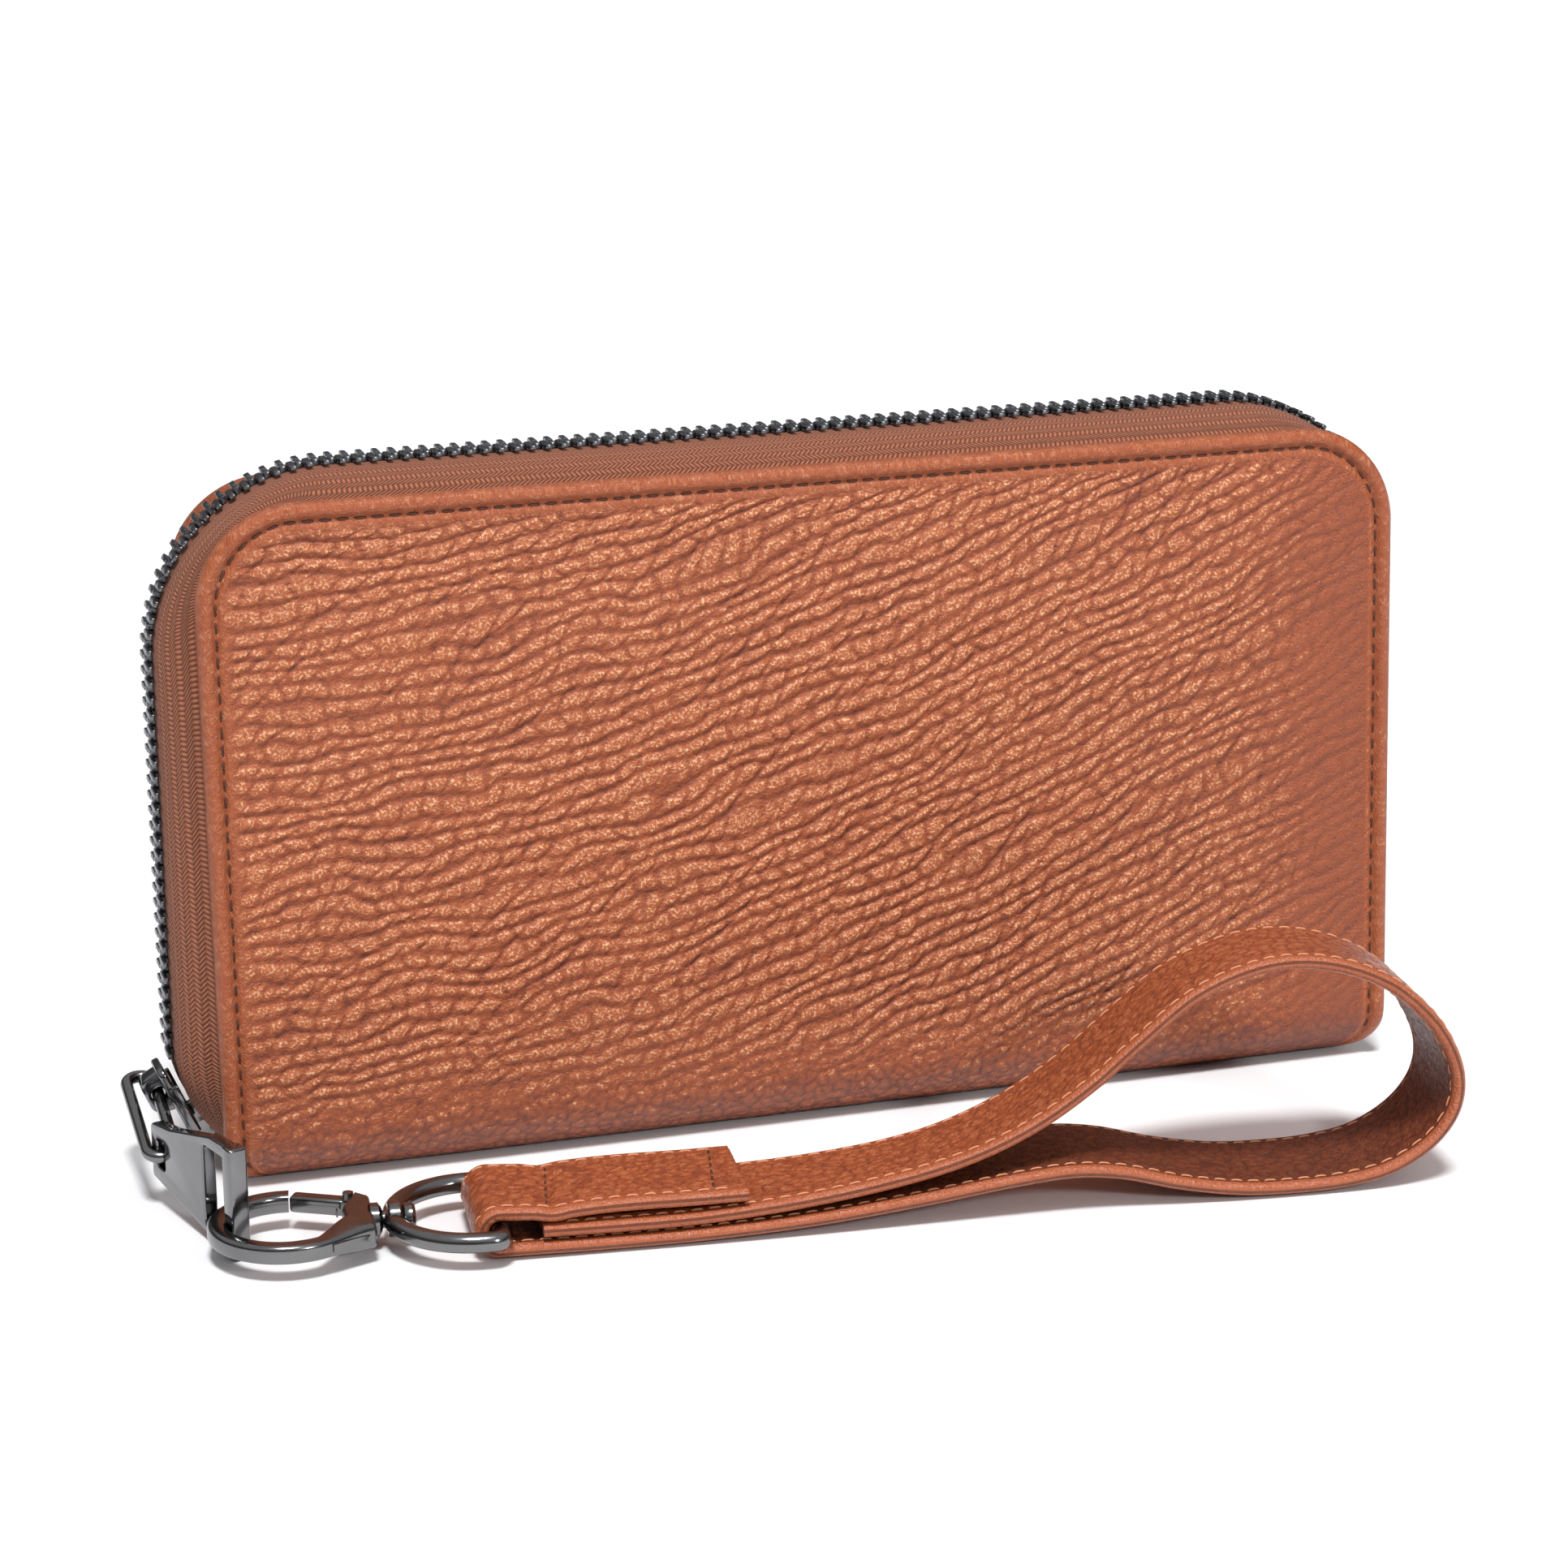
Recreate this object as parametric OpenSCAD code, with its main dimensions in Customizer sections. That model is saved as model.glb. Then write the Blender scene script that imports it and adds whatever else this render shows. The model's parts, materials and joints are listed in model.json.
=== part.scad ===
// Zip-around wallet with a detachable wrist strap, standing on its spine.
// +X runs along the wallet, +Z up, the front face looks along -Y.
// The origin is the middle of the flat underside of the spine. Millimetres.

/* [Wallet] */
// Length of the covers
wallet_w = 190; // [170:1:220]
// Height of the covers above the table
wallet_h = 104; // [96:1:115]
// Depth over both covers at the spine
depth_foot = 31.3; // [30:0.1:34]
// Lean of each cover towards the other, in degrees
lean = 2.2; // [1:0.1:2.5]
// Radius of the covers' top corners
corner_r = 15.5; // [10:0.5:20]
// Thickness of a cover: leather, board and turned edge
cover_t = 2.4; // [2:0.1:3]
// Outer radius where the leather wraps under the spine
spine_r = 9; // [7:0.5:9.5]

/* [Zip] */
// How far the chain stands out past the covers at the sides
chain_side = 4.8; // [3:0.1:6]
// How far the chain stands out past the covers at the top
chain_top = 3; // [2:0.1:5]
// Corner radius of the chain
chain_r = 27.3; // [20:0.1:32]
// Distance from one tooth to the next on the same tape
tooth_pitch = 2.4; // [2.2:0.1:3]
// Height of a tooth across the tape
tooth_h = 2.3; // [1.8:0.1:2.6]

/* [Inside] */
// Thickness of one card pocket leaf
leaf_t = 0.5; // [0.4:0.05:0.5]
// Thickness of the zipped coin pocket
coin_t = 4.4; // [4:0.1:4.8]

/* [Strap] */
// Width of the wrist strap
strap_w = 19.5; // [16:0.5:20]
// Thickness of the wrist strap
strap_t = 2.4; // [2:0.1:2.4]
// Turn of hook, ring and strap about the upright, in degrees
strap_turn = 6.84; // [5:0.01:9]

/* [Hidden] */
$fn = 48;
gap = 0.05;                             // between pieces sewn or glued together

leather = [0.73, 0.37, 0.20];
lining_cloth = [0.62, 0.42, 0.28];
tape_cloth = [0.66, 0.36, 0.22];
gunmetal = [0.30, 0.30, 0.31];
board_grey = [0.55, 0.53, 0.50];

// Covers
foot_y = depth_foot / 2;                // outer face of a cover where it meets the spine
panel_h = (wallet_h - spine_r) / cos(lean);
hinge_y = foot_y - cover_t / 2;         // fold line of the back cover
fold_r = cover_t / 2 - gap;
fold_gap = 0.4;
leather_t = 1.4;
rim_w = 5;
lining_t = 0.4;
slip_t = 0.6;
leaf_step = leaf_t + gap;
leaf_drop = 11;
leaf_foot = 6;                          // height of the leaves' lower edge above the fold
pocket_w = 160;
pocket_y = cover_t + lining_t + 2 * gap;
leaf_y = pocket_y + slip_t + gap;

// Zip chain: half width and height of its centreline, and the curve at its ends
chain_x = -1.1;                         // the chain sits a little to the left of the covers
chain_w = wallet_w / 2 + chain_side + chain_x;
chain_h = wallet_h + chain_top;
end_r = 19.7;
end_z = 20;
end_turn = 52;
slider_turn = 24;
tape_t = 0.8;
tape_y = 1.3;                           // the tape's free edge, from the middle of the chain
tape_knee = 5.4;
tooth_w = 1;
tooth_far = 0.9;                        // how far a tooth reaches past the middle
tooth_root = 3.4;

end_len = end_r * end_turn * PI / 180;
side_len = chain_h - chain_r - end_z;
bend_len = chain_r * PI / 2;
top_len = 2 * (chain_w - chain_r);
first_tooth = end_len - end_r * (slider_turn - 20.5) * PI / 180;
last_tooth = end_len + 2 * side_len + 2 * bend_len + top_len;
tooth_count = floor((last_tooth - first_tooth) / tooth_pitch);

// Slider, in its own frame: +X out of the wallet, +Z along the chain
slider_at = [
    chain_x - chain_w + end_r * (1 - cos(slider_turn)),
    0,
    end_z - end_r * sin(slider_turn)];
slider_l = 12;
slider_w = 9.2;
plate_in = 1.45;
plate_t = 1;
crown_l = 7;
crown_w = 2.6;
crown_up = 2;                           // crown's middle, up the slider from its centre
tunnel_out = 3.8;
crown_out = 5.6;
wire_r = 0.95;                          // link's wire
link_gap = 0.1;

// Link: an oval ring that tips down towards the front
link_tip = 14;
link_half = 2.1;
link_l = 15.2;
link_back = 2.6;
tunnel_at = slider_at + [
    -tunnel_out * cos(slider_turn) - crown_up * sin(slider_turn),
    0,
    -tunnel_out * sin(slider_turn) + crown_up * cos(slider_turn)];
eye_at = tunnel_at + [-link_half, -link_l * cos(link_tip), -link_l * sin(link_tip)];

// Pull tab: an upright plate from its eye bar to its end bar
bar_at = [-97.8, -39.9, 0];
tab_run = bar_at - [eye_at[0], eye_at[1], 0];
tab_l = norm(tab_run);
tab_turn = atan2(tab_run[1], tab_run[0]);
tab_t = 2.2;
eye_r = 0.95;
bar_r = 1.35;
eye_low = 4.4;
eye_high = 12.8;
bar_low = 0.4;
bar_high = 17.2;
tab_edge = 2;                           // height of the arms over and under the windows
eye_window = 3.8;
bar_window = 8.8;

// Hook, ring and strap share one frame: origin on the tab's end bar, +X to the strap
ring_z = 4.3;
hook_t = 3;
hook_nose_r = 11.4;
hook_wire = 3;
hook_nose_x = 7;
hook_base_x = 19.5;
hook_base_w = 11.4;
hook_base_t = 4.4;
gate_at = [16.4, 6.1];
gate_nose = [7.9, 9.9];
gate_w = 2.3;
gate_t = 2;
pin_r = 0.8;
pin_gap = 0.06;
post_r = 1.3;
boss_x = 21.5;
boss_l = 2;
head_x = 23.6;
head_l = 2;
head_r = 2.2;
ring_wire = 1.5;
ring_half = 11.9;
ring_bow_x = 34.1;
ring_bar_x = 37;
fold_out = 4.1;

// Strap's middle line: distance from the ring's bar, and height
strap_route = [
    [5, 1.5], [14, 1.4], [30, 1.55], [46, 2.4], [62, 4.1], [74, 5.7], [84, 6.6],
    [92, 5.8], [101, 3.4], [110, 1.8], [118, 1.4], [126, 1.7], [133, 3.1],
    [139, 6.5], [142.6, 11], [143.5, 16], [142, 21.2], [138.5, 26.6],
    [132.5, 31.8], [125, 35], [117.4, 36], [110, 34.8], [102, 31.2],
    [94, 24.8], [87, 18.9], [79, 13.6], [70, 9.6], [60, 7], [46, 5.1],
    [30, 4.1], [16, 3.95], [5, 4],
];
strap_steps = 3;                        // rings between two points of the route
flap_l = 36;
flap_low = 5.4;                         // height of the flap's underside at the ring and at its end
flap_rise = 0.4;

// ---------- shared shapes ----------

// Points of an arc about (x, z), from one angle to another
function arc_points(x, z, r, from, to, count) =
    [for (i = [0:count]) let (a = from + (to - from) * i / count) [x + r * cos(a), z + r * sin(a)]];

// Points along an upright line
function line_points(x, low, high, count) =
    [for (i = [0:count]) [x, low + (high - low) * i / count]];

// Mirror-image points in the opposite order, to finish a symmetrical path
function other_half(points) = [for (i = [len(points) - 1:-1:0]) [-points[i][0], points[i][1]]];

// Closed solid through a list of rings that all have the same number of points
module loft(rings) {
    count = len(rings);
    n = len(rings[0]);
    sides = [
        for (i = [0:count - 2])
            for (j = [0:n - 1])
                let (a = i * n + j, b = i * n + (j + 1) % n)
                    each [[a, a + n, b], [b, a + n, b + n]]
    ];
    first = [for (j = [1:n - 2]) [0, j, j + 1]];
    last = [for (j = [1:n - 2]) [(count - 1) * n, (count - 1) * n + j + 1, (count - 1) * n + j]];
    polyhedron(points = [for (ring = rings) each ring], faces = concat(sides, first, last));
}

// Outline of a cover above the fold: square foot, round top corners
module cover_outline(inset = 0, foot = 0) {
    half = wallet_w / 2 - inset;
    top = panel_h - inset;
    r = corner_r - inset;
    hull() {
        for (side = [-1, 1])
            translate([side * (half - r), top - r])
                circle(r);
        translate([-half, foot])
            square([2 * half, 1]);
    }
}

// A plate in the frame of the front cover, from depth y to y + t behind its outer face
module front_plate(y, t) {
    translate([0, -foot_y, spine_r])
        rotate([-lean, 0, 0])
            translate([0, y + t, 0])
                rotate([90, 0, 0])
                    linear_extrude(t)
                        children();
}

module back_plate(y, t) {
    mirror([0, 1, 0])
        front_plate(y, t)
            children();
}

// ---------- covers ----------

module cover_leather() {
    front_plate(0, leather_t)
        cover_outline();
    front_plate(leather_t, cover_t - leather_t)
        difference() {
            cover_outline();
            cover_outline(rim_w, rim_w);
        }
}

module cover_board() {
    front_plate(leather_t + gap / 2, cover_t - leather_t - gap)
        cover_outline(rim_w + gap, rim_w + gap);
}

module cover_lining() {
    front_plate(cover_t + gap, lining_t)
        cover_outline(6, 3);
}

module slip_pocket() {
    front_plate(pocket_y, slip_t)
        translate([-pocket_w / 2, leaf_foot])
            square([pocket_w, 72]);
}

// One stepped leaf with two card pockets side by side and a thumb notch in each mouth
module card_pocket(i) {
    top = 66 - (i - 1) * leaf_drop;
    front_plate(leaf_y + (i - 1) * leaf_step, leaf_t)
        difference() {
            translate([-pocket_w / 2, leaf_foot])
                square([pocket_w, top - leaf_foot]);
            for (side = [-1, 1])
                translate([side * pocket_w / 4, top + 14])
                    circle(20, $fn = 120);
        }
}

module front_panel() {
    color(leather)
        cover_leather();
}

module front_board() {
    color(board_grey)
        cover_board();
}

module front_lining() {
    color(lining_cloth)
        cover_lining();
}

module front_slip_pocket() {
    color(leather)
        slip_pocket();
}

module front_card_pocket(i) {
    color(leather)
        card_pocket(i);
}

module back_board() {
    color(board_grey)
        mirror([0, 1, 0])
            cover_board();
}

module back_lining() {
    color(lining_cloth)
        mirror([0, 1, 0])
            cover_lining();
}

module back_slip_pocket() {
    color(leather)
        mirror([0, 1, 0])
            slip_pocket();
}

module back_card_pocket(i) {
    color(leather)
        mirror([0, 1, 0])
            card_pocket(i);
}

// The back cover ends in a half-round edge on its fold line
module back_panel() {
    color(leather) {
        mirror([0, 1, 0])
            cover_leather();
        translate([-wallet_w / 2, hinge_y, spine_r])
            rotate([0, 90, 0])
                cylinder(r = fold_r, h = wallet_w);
    }
}

// Section of the leather that wraps under, in Y and Z
module spine_section(r) {
    hull()
        for (side = [-1, 1])
            translate([side * (foot_y - spine_r), spine_r])
                circle(r, $fn = 96);
}

// The spine joins the front cover and stops short of the back cover's fold
module spine() {
    back_top = spine_r - fold_r - fold_gap;
    color(leather)
        intersection() {
            translate([-wallet_w / 2, 0, 0])
                rotate([90, 0, 90])
                    linear_extrude(wallet_w)
                        difference() {
                            spine_section(spine_r);
                            spine_section(spine_r - cover_t);
                            translate([-foot_y - 1, spine_r - cover_t * sin(lean)])
                                square([2 * foot_y + 2, spine_r + 1]);
                            translate([0, back_top])
                                square([foot_y + 1, spine_r]);
                        }
            translate([0, foot_y + 1, 0])
                rotate([90, 0, 0])
                    linear_extrude(2 * foot_y + 2)
                        hull() {
                            for (side = [-1, 1])
                                translate([side * (wallet_w / 2 - 7), 7])
                                    circle(7);
                            translate([-wallet_w / 2, spine_r])
                                square([wallet_w, 1]);
                        }
        }
}

// ---------- zip ----------

// Depth of a cover's inner face at height z, in front of the middle
function inner_face(z) = foot_y - cover_t / cos(lean) - max(0, z - spine_r) * tan(lean);

function cover_path(inset) =
    let (
        half = wallet_w / 2 - inset,
        top = wallet_h - inset,
        left = concat(
            line_points(-half, 9, end_z, 6),
            arc_points(-half + corner_r - inset, top - corner_r + inset, corner_r - inset, 180, 90, 14)))
    concat(left, other_half(left));

function chain_path(out) =
    let (left = concat(
        arc_points(-chain_w + end_r, end_z, end_r + out, 180 + end_turn, 180, 6),
        arc_points(-chain_w + chain_r, chain_h - chain_r, chain_r + out, 180, 90, 14)))
    [for (point = concat(left, other_half(left))) [point[0] + chain_x, point[1]]];

// One tape: from the cover's inner face out to a bend, then level to the chain
module zip_tape() {
    cover_out = cover_path(1);
    cover_in = cover_path(1 + tape_t);
    chain_out = chain_path(tape_t / 2);
    chain_in = chain_path(-tape_t / 2);
    loft([
        for (i = [0:len(cover_out) - 1])
            let (
                face = inner_face(cover_out[i][1]) - gap)
            [
                [chain_in[i][0], -tape_knee, chain_in[i][1]],
                [chain_in[i][0], -tape_y, chain_in[i][1]],
                [chain_out[i][0], -tape_y, chain_out[i][1]],
                [chain_out[i][0], -tape_knee, chain_out[i][1]],
                [cover_out[i][0], -face, cover_out[i][1]],
                [cover_in[i][0], -face, cover_in[i][1]],
            ]
    ]);
}

// Place and direction of the chain at a distance d from its lower left end, with x
// counted from the chain's own middle: [x, z, angle]
function chain_at(d) =
    let (
        up = d - end_len,
        bend = up - side_len,
        over = bend - bend_len,
        turn = over - top_len,
        down = turn - bend_len,
        last = down - side_len)
    up < 0 ? let (a = -up / end_r * 180 / PI)
        [-chain_w + end_r * (1 - cos(a)), end_z - end_r * sin(a), 90 + a]
    : bend < 0 ? [-chain_w, end_z + up, 90]
    : over < 0 ? let (a = bend / chain_r * 180 / PI)
        [-chain_w + chain_r * (1 - cos(a)), chain_h - chain_r + chain_r * sin(a), 90 - a]
    : turn < 0 ? [-chain_w + chain_r + over, chain_h, 0]
    : down < 0 ? let (a = turn / chain_r * 180 / PI)
        [chain_w - chain_r + chain_r * sin(a), chain_h - chain_r + chain_r * cos(a), -a]
    : last < 0 ? [chain_w, chain_h - chain_r - down, -90]
    : let (a = last / end_r * 180 / PI)
        [chain_w - end_r * (1 - cos(a)), end_z - end_r * sin(a), -90 - a];

module at_chain(d) {
    at = chain_at(d);
    translate([at[0] + chain_x, 0, at[1]])
        rotate([0, -at[2], 0])
            children();
}

// A row of teeth, each clamped over the edge of its tape. The tape is cut out of them.
module teeth_row(start) {
    for (i = [0:tooth_count - 1])
        at_chain(start + i * tooth_pitch)
            translate([-tooth_w / 2, -tooth_root, -tooth_h / 2])
                difference() {
                    cube([tooth_w, tooth_root + tooth_far, tooth_h]);
                    translate([-1, -1, tooth_h / 2 - tape_t])
                        cube([tooth_w + 2, tooth_root - tape_y + 1.2, 2 * tape_t]);
                }
}

// Small clamp on a tape below the slider's mouth
module top_stop() {
    at_chain(1.2)
        translate([-1, -3.2, -1.2])
            difference() {
                cube([2, 2.4, 2.4]);
                translate([-1, -1, 1.2 - tape_t])
                    cube([4, 3, 2 * tape_t]);
            }
}

module front_tape() {
    color(tape_cloth)
        zip_tape();
}

module back_tape() {
    color(tape_cloth)
        mirror([0, 1, 0])
            zip_tape();
}

module front_teeth() {
    color(gunmetal) {
        teeth_row(first_tooth);
        top_stop();
    }
}

module back_teeth() {
    color(gunmetal)
        mirror([0, 1, 0]) {
            teeth_row(first_tooth + tooth_pitch / 2);
            top_stop();
        }
}

// Box that closes the chain at its far end: two plates and a web between the tapes
module bottom_stop() {
    color(gunmetal)
        at_chain(last_tooth + 2.6) {
            for (side = [-1, 1])
                translate([-1.5, -3, side * 1.15 - 0.35])
                    cube([3, 6, 0.7]);
            translate([-1.5, -0.9, -1])
                cube([3, 1.8, 2]);
        }
}

// ---------- gussets ----------

gusset_edge = 88;                       // where a leaf is sewn on, from the middle
gusset_fold_low = 3;                    // depth of its fold at the foot and at the top
gusset_fold_high = 17;
gusset_nose = 1.3;
gusset_levels = 12;
gusset_t = 1;
gusset_low = 14;
gusset_high = 80;

// Folded leaf at one end, from the front cover's lining to the coin pocket's side
module gusset_leaf() {
    loft([
        for (i = [0:gusset_levels])
            let (
                share = i / gusset_levels,
                z = gusset_low + (gusset_high - gusset_low) * share,
                fold = gusset_fold_low + (gusset_fold_high - gusset_fold_low) * share,
                cover_y = -inner_face(z) + lining_t + 2 * gap,
                coin_y = -coin_t / 2 - gap)
            [
                [-gusset_edge + fold, (cover_y + coin_y) / 2, z],
                [-gusset_edge, coin_y, z],
                [-gusset_edge + gusset_t, coin_y, z],
                [-gusset_edge + fold + gusset_nose, (cover_y + coin_y) / 2, z],
                [-gusset_edge + gusset_t, cover_y, z],
                [-gusset_edge, cover_y, z],
            ]
    ]);
}

module left_gusset_front() {
    color(leather)
        gusset_leaf();
}

module right_gusset_front() {
    color(leather)
        mirror([1, 0, 0])
            gusset_leaf();
}

module left_gusset_back() {
    color(leather)
        mirror([0, 1, 0])
            gusset_leaf();
}

module right_gusset_back() {
    color(leather)
        mirror([1, 0, 0])
            mirror([0, 1, 0])
                gusset_leaf();
}

// ---------- coin pocket ----------

coin_w = 176;
coin_low = 13;
coin_high = 82;
coin_wall = 0.8;
coin_mouth = 86;
coin_half = 70;                         // half length of the coin zip
coin_tooth = 2.6;

module coin_wall(side) {
    translate([-coin_w / 2, side < 0 ? -coin_t / 2 : coin_t / 2 - coin_wall, coin_low])
        cube([coin_w, coin_wall, coin_high - coin_low]);
}

module coin_tape(side) {
    translate([-coin_w / 2, side < 0 ? -coin_t / 2 + coin_wall + gap : coin_t / 2 - coin_wall - gap - 0.5, 74])
        cube([coin_w, 0.5, coin_mouth - 74]);
}

module coin_wall_front() {
    color(leather)
        coin_wall(-1);
}

module coin_wall_back() {
    color(leather)
        coin_wall(1);
}

module coin_tape_front() {
    color(tape_cloth)
        coin_tape(-1);
}

module coin_tape_back() {
    color(tape_cloth)
        coin_tape(1);
}

// Closed chain along the mouth, between the two tapes
module coin_teeth() {
    color(gunmetal)
        for (x = [-coin_half + 12:coin_tooth:coin_half])
            translate([x - 0.9, -0.75, coin_mouth - 2])
                cube([1.8, 1.5, 2.4]);
}

// Slider over the mouth, at the left end of its run
module coin_slider() {
    color(gunmetal)
        translate([-coin_half, 0, coin_mouth]) {
            translate([-4, -2.6, 0.8])
                cube([8, 5.2, 1]);
            for (side = [-1, 1])
                translate([-4, side * 2.1 - 0.5, -3])
                    cube([8, 1, 4]);
            difference() {
                translate([-1.6, -1, 1.8])
                    cube([3.2, 2, 3]);
                translate([0, 2, 3.2])
                    rotate([90, 0, 0])
                        cylinder(r = 0.75, h = 4);
            }
        }
}

// Small pull, lying along the chain, with its pin through the slider's eye
module coin_pull() {
    color(gunmetal)
        translate([-coin_half, 0, coin_mouth + 3.2]) {
            translate([0, 2, 0])
                rotate([90, 0, 0])
                    cylinder(r = 0.7, h = 4);
            for (side = [-1, 1])
                translate([-0.7, side * 1.6 - 0.4, -0.7])
                    cube([5.7, 0.8, 1.4]);
            translate([4.2, -2, -0.7])
                cube([14, 4, 1.4]);
        }
}

// ---------- slider and pull ----------

module slider_frame() {
    translate(slider_at)
        rotate([0, -slider_turn, 0])
            mirror([1, 0, 0])
                children();
}

// Two plates and the wedge that parts the teeth at the lower end
module slider_body() {
    color(gunmetal)
        slider_frame() {
            for (side = [-1, 1])
                translate([side * (plate_in + plate_t / 2) - plate_t / 2, 0, 0])
                    rotate([0, 90, 0])
                        linear_extrude(plate_t)
                            slider_outline();
            translate([-plate_in, -0.8, -slider_l / 2 + 0.6])
                cube([2 * plate_in, 1.6, 3.6]);
        }
}

// Seen from outside: round shoulders at the mouth, narrower at the closed end
module slider_outline() {
    hull() {
        for (side = [-1, 1]) {
            translate([slider_l / 2 - 2.2, side * (slider_w / 2 - 2.2)])
                circle(2.2);
            translate([-slider_l / 2 + 1, side * (slider_w / 2 - 2.2)])
                circle(1);
        }
    }
}

// Arched bridge that the link passes through
module slider_crown() {
    color(gunmetal)
        difference() {
            slider_frame()
                translate([0, crown_w / 2, crown_up])
                    rotate([90, 0, 0])
                        linear_extrude(crown_w)
                            difference() {
                                hull() {
                                    translate([plate_in + plate_t, -crown_l / 2])
                                        square([0.5, crown_l]);
                                    for (side = [-1, 1])
                                        translate([crown_out - 1.2, side * (crown_l / 2 - 1.9)])
                                            circle(1.2);
                                }
                                translate([plate_in + plate_t - 1, -1.2])
                                    square([1.2, 2.4]);
                            }
            translate(tunnel_at)
                rotate([link_tip, 0, 0])
                    rotate([90, 0, 0])
                        cylinder(r = wire_r + link_gap, h = 8, center = true);
        }
}

// Oval ring of round wire: one arm through the crown, one outside it
module pull_link() {
    color(gunmetal)
        translate(tunnel_at)
            rotate([link_tip, 0, 0])
                translate([-link_half, 0, 0]) {
                    for (side = [-1, 1])
                        translate([side * link_half, link_back, 0])
                            rotate([90, 0, 0])
                                cylinder(r = wire_r, h = link_l + link_back);
                    translate([0, link_back, 0])
                        rotate_extrude(angle = 180)
                            translate([link_half, 0])
                                circle(wire_r);
                    translate([0, -link_l, 0])
                        rotate([0, 0, 180])
                            rotate_extrude(angle = 180)
                                translate([link_half, 0])
                                    circle(wire_r);
                }
}

// Upright plate that widens from its eye to its end bar, with a window at each end
module pull_tab() {
    low = eye_low + tab_edge;
    high = eye_high - tab_edge;
    color(gunmetal)
        translate([eye_at[0], eye_at[1], 0])
            rotate([0, 0, tab_turn]) {
                difference() {
                    translate([0, tab_t / 2, 0])
                        rotate([90, 0, 0])
                            linear_extrude(tab_t)
                                polygon([
                                    [0, eye_low], [tab_l - 5, bar_low + 0.5], [tab_l, bar_low],
                                    [tab_l, bar_high], [tab_l - 6, bar_high - 0.3],
                                    [6, eye_high + 0.8], [0, eye_high]]);
                    translate([0, -tab_t, low])
                        cube([eye_window, 2 * tab_t, high - low]);
                    translate([tab_l - bar_window, -tab_t, bar_low + tab_edge])
                        cube([bar_window, 2 * tab_t, bar_high - bar_low - 2 * tab_edge]);
                }
                translate([0, 0, eye_low])
                    cylinder(r = eye_r, h = eye_high - eye_low);
                translate([tab_l, 0, bar_low])
                    cylinder(r = bar_r, h = bar_high - bar_low);
            }
}

// ---------- hook ----------

module strap_frame() {
    translate(bar_at)
        rotate([0, 0, -strap_turn])
            children();
}

// Pear-shaped outline, grown or shrunk by a distance
module hook_outline(inset) {
    base = hook_base_w / 2 - inset * 0.9;
    hull() {
        translate([hook_nose_x, 0])
            circle(hook_nose_r - inset);
        translate([hook_base_x - inset * 2.1 - 1, -base])
            square([1, 2 * base]);
    }
}

// Loop with a thicker base. The far arm is cut away for the gate, which turns in a fork.
module hook_body() {
    color(gunmetal)
        strap_frame()
            difference() {
                union() {
                    translate([0, 0, ring_z - hook_t / 2])
                        linear_extrude(hook_t)
                            difference() {
                                hook_outline(0);
                                hook_outline(hook_wire);
                            }
                    translate([0, 0, ring_z - hook_base_t / 2])
                        linear_extrude(hook_base_t)
                            intersection() {
                                hook_outline(0);
                                translate([14, -hook_nose_r])
                                    square([hook_base_x - 14, 2 * hook_nose_r]);
                                difference() {
                                    square(100, center = true);
                                    hook_outline(hook_wire);
                                }
                            }
                    translate([hook_base_x - 1, 0, ring_z])
                        rotate([0, 90, 0])
                            cylinder(r = post_r, h = head_x - hook_base_x + 1.5);
                    translate([head_x, 0, ring_z])
                        rotate([0, 90, 0])
                            cylinder(r = head_r, h = head_l);
                }
                gate_space();
                translate([gate_at[0], gate_at[1], 0])
                    cylinder(r = pin_r, h = 20);
            }
}

// Room for the gate's arm and for its swing inwards
module gate_space() {
    translate([0, 0, ring_z - gate_t / 2 - 0.15])
        linear_extrude(gate_t + 0.3)
            hull() {
                translate(gate_at)
                    circle(gate_w / 2 + 0.35);
                translate([gate_at[0] - 5, gate_at[1] - 4])
                    circle(gate_w / 2);
                translate(gate_nose)
                    circle(gate_w / 2 + 0.3);
            }
    translate([0, 0, ring_z - hook_t])
        linear_extrude(2 * hook_t)
            polygon([
                gate_nose + [0.4, -4], gate_nose + [0.1, 4],
                [14.2, 12], [14.2, 4.2], [11, 4]]);
}

module gate_pin() {
    color(gunmetal)
        strap_frame()
            translate([gate_at[0], gate_at[1], ring_z - hook_base_t / 2])
                cylinder(r = pin_r, h = hook_base_t);
}

// Straight bar from its pin to the hook's nose
module hook_gate() {
    color(gunmetal)
        strap_frame()
            translate([0, 0, ring_z - gate_t / 2])
                linear_extrude(gate_t)
                    difference() {
                        union() {
                            translate(gate_at)
                                circle(gate_w / 2);
                            gate_bar();
                        }
                        translate(gate_at)
                            circle(pin_r + pin_gap);
                    }
}

module gate_bar() {
    run = gate_nose - gate_at;
    angle = atan2(run[1], run[0]);
    translate(gate_at)
        rotate(angle)
            translate([0, -gate_w / 2])
                square([norm(run) - 0.9, gate_w]);
}

// Leaf spring inside the fork, behind the gate's pin
module gate_spring() {
    color(gunmetal)
        strap_frame()
            translate([gate_at[0] - 2, gate_at[1] - 2.8, ring_z - 0.5])
                cube([0.25, 1, 1]);
}

// ---------- swivel ring ----------

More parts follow.
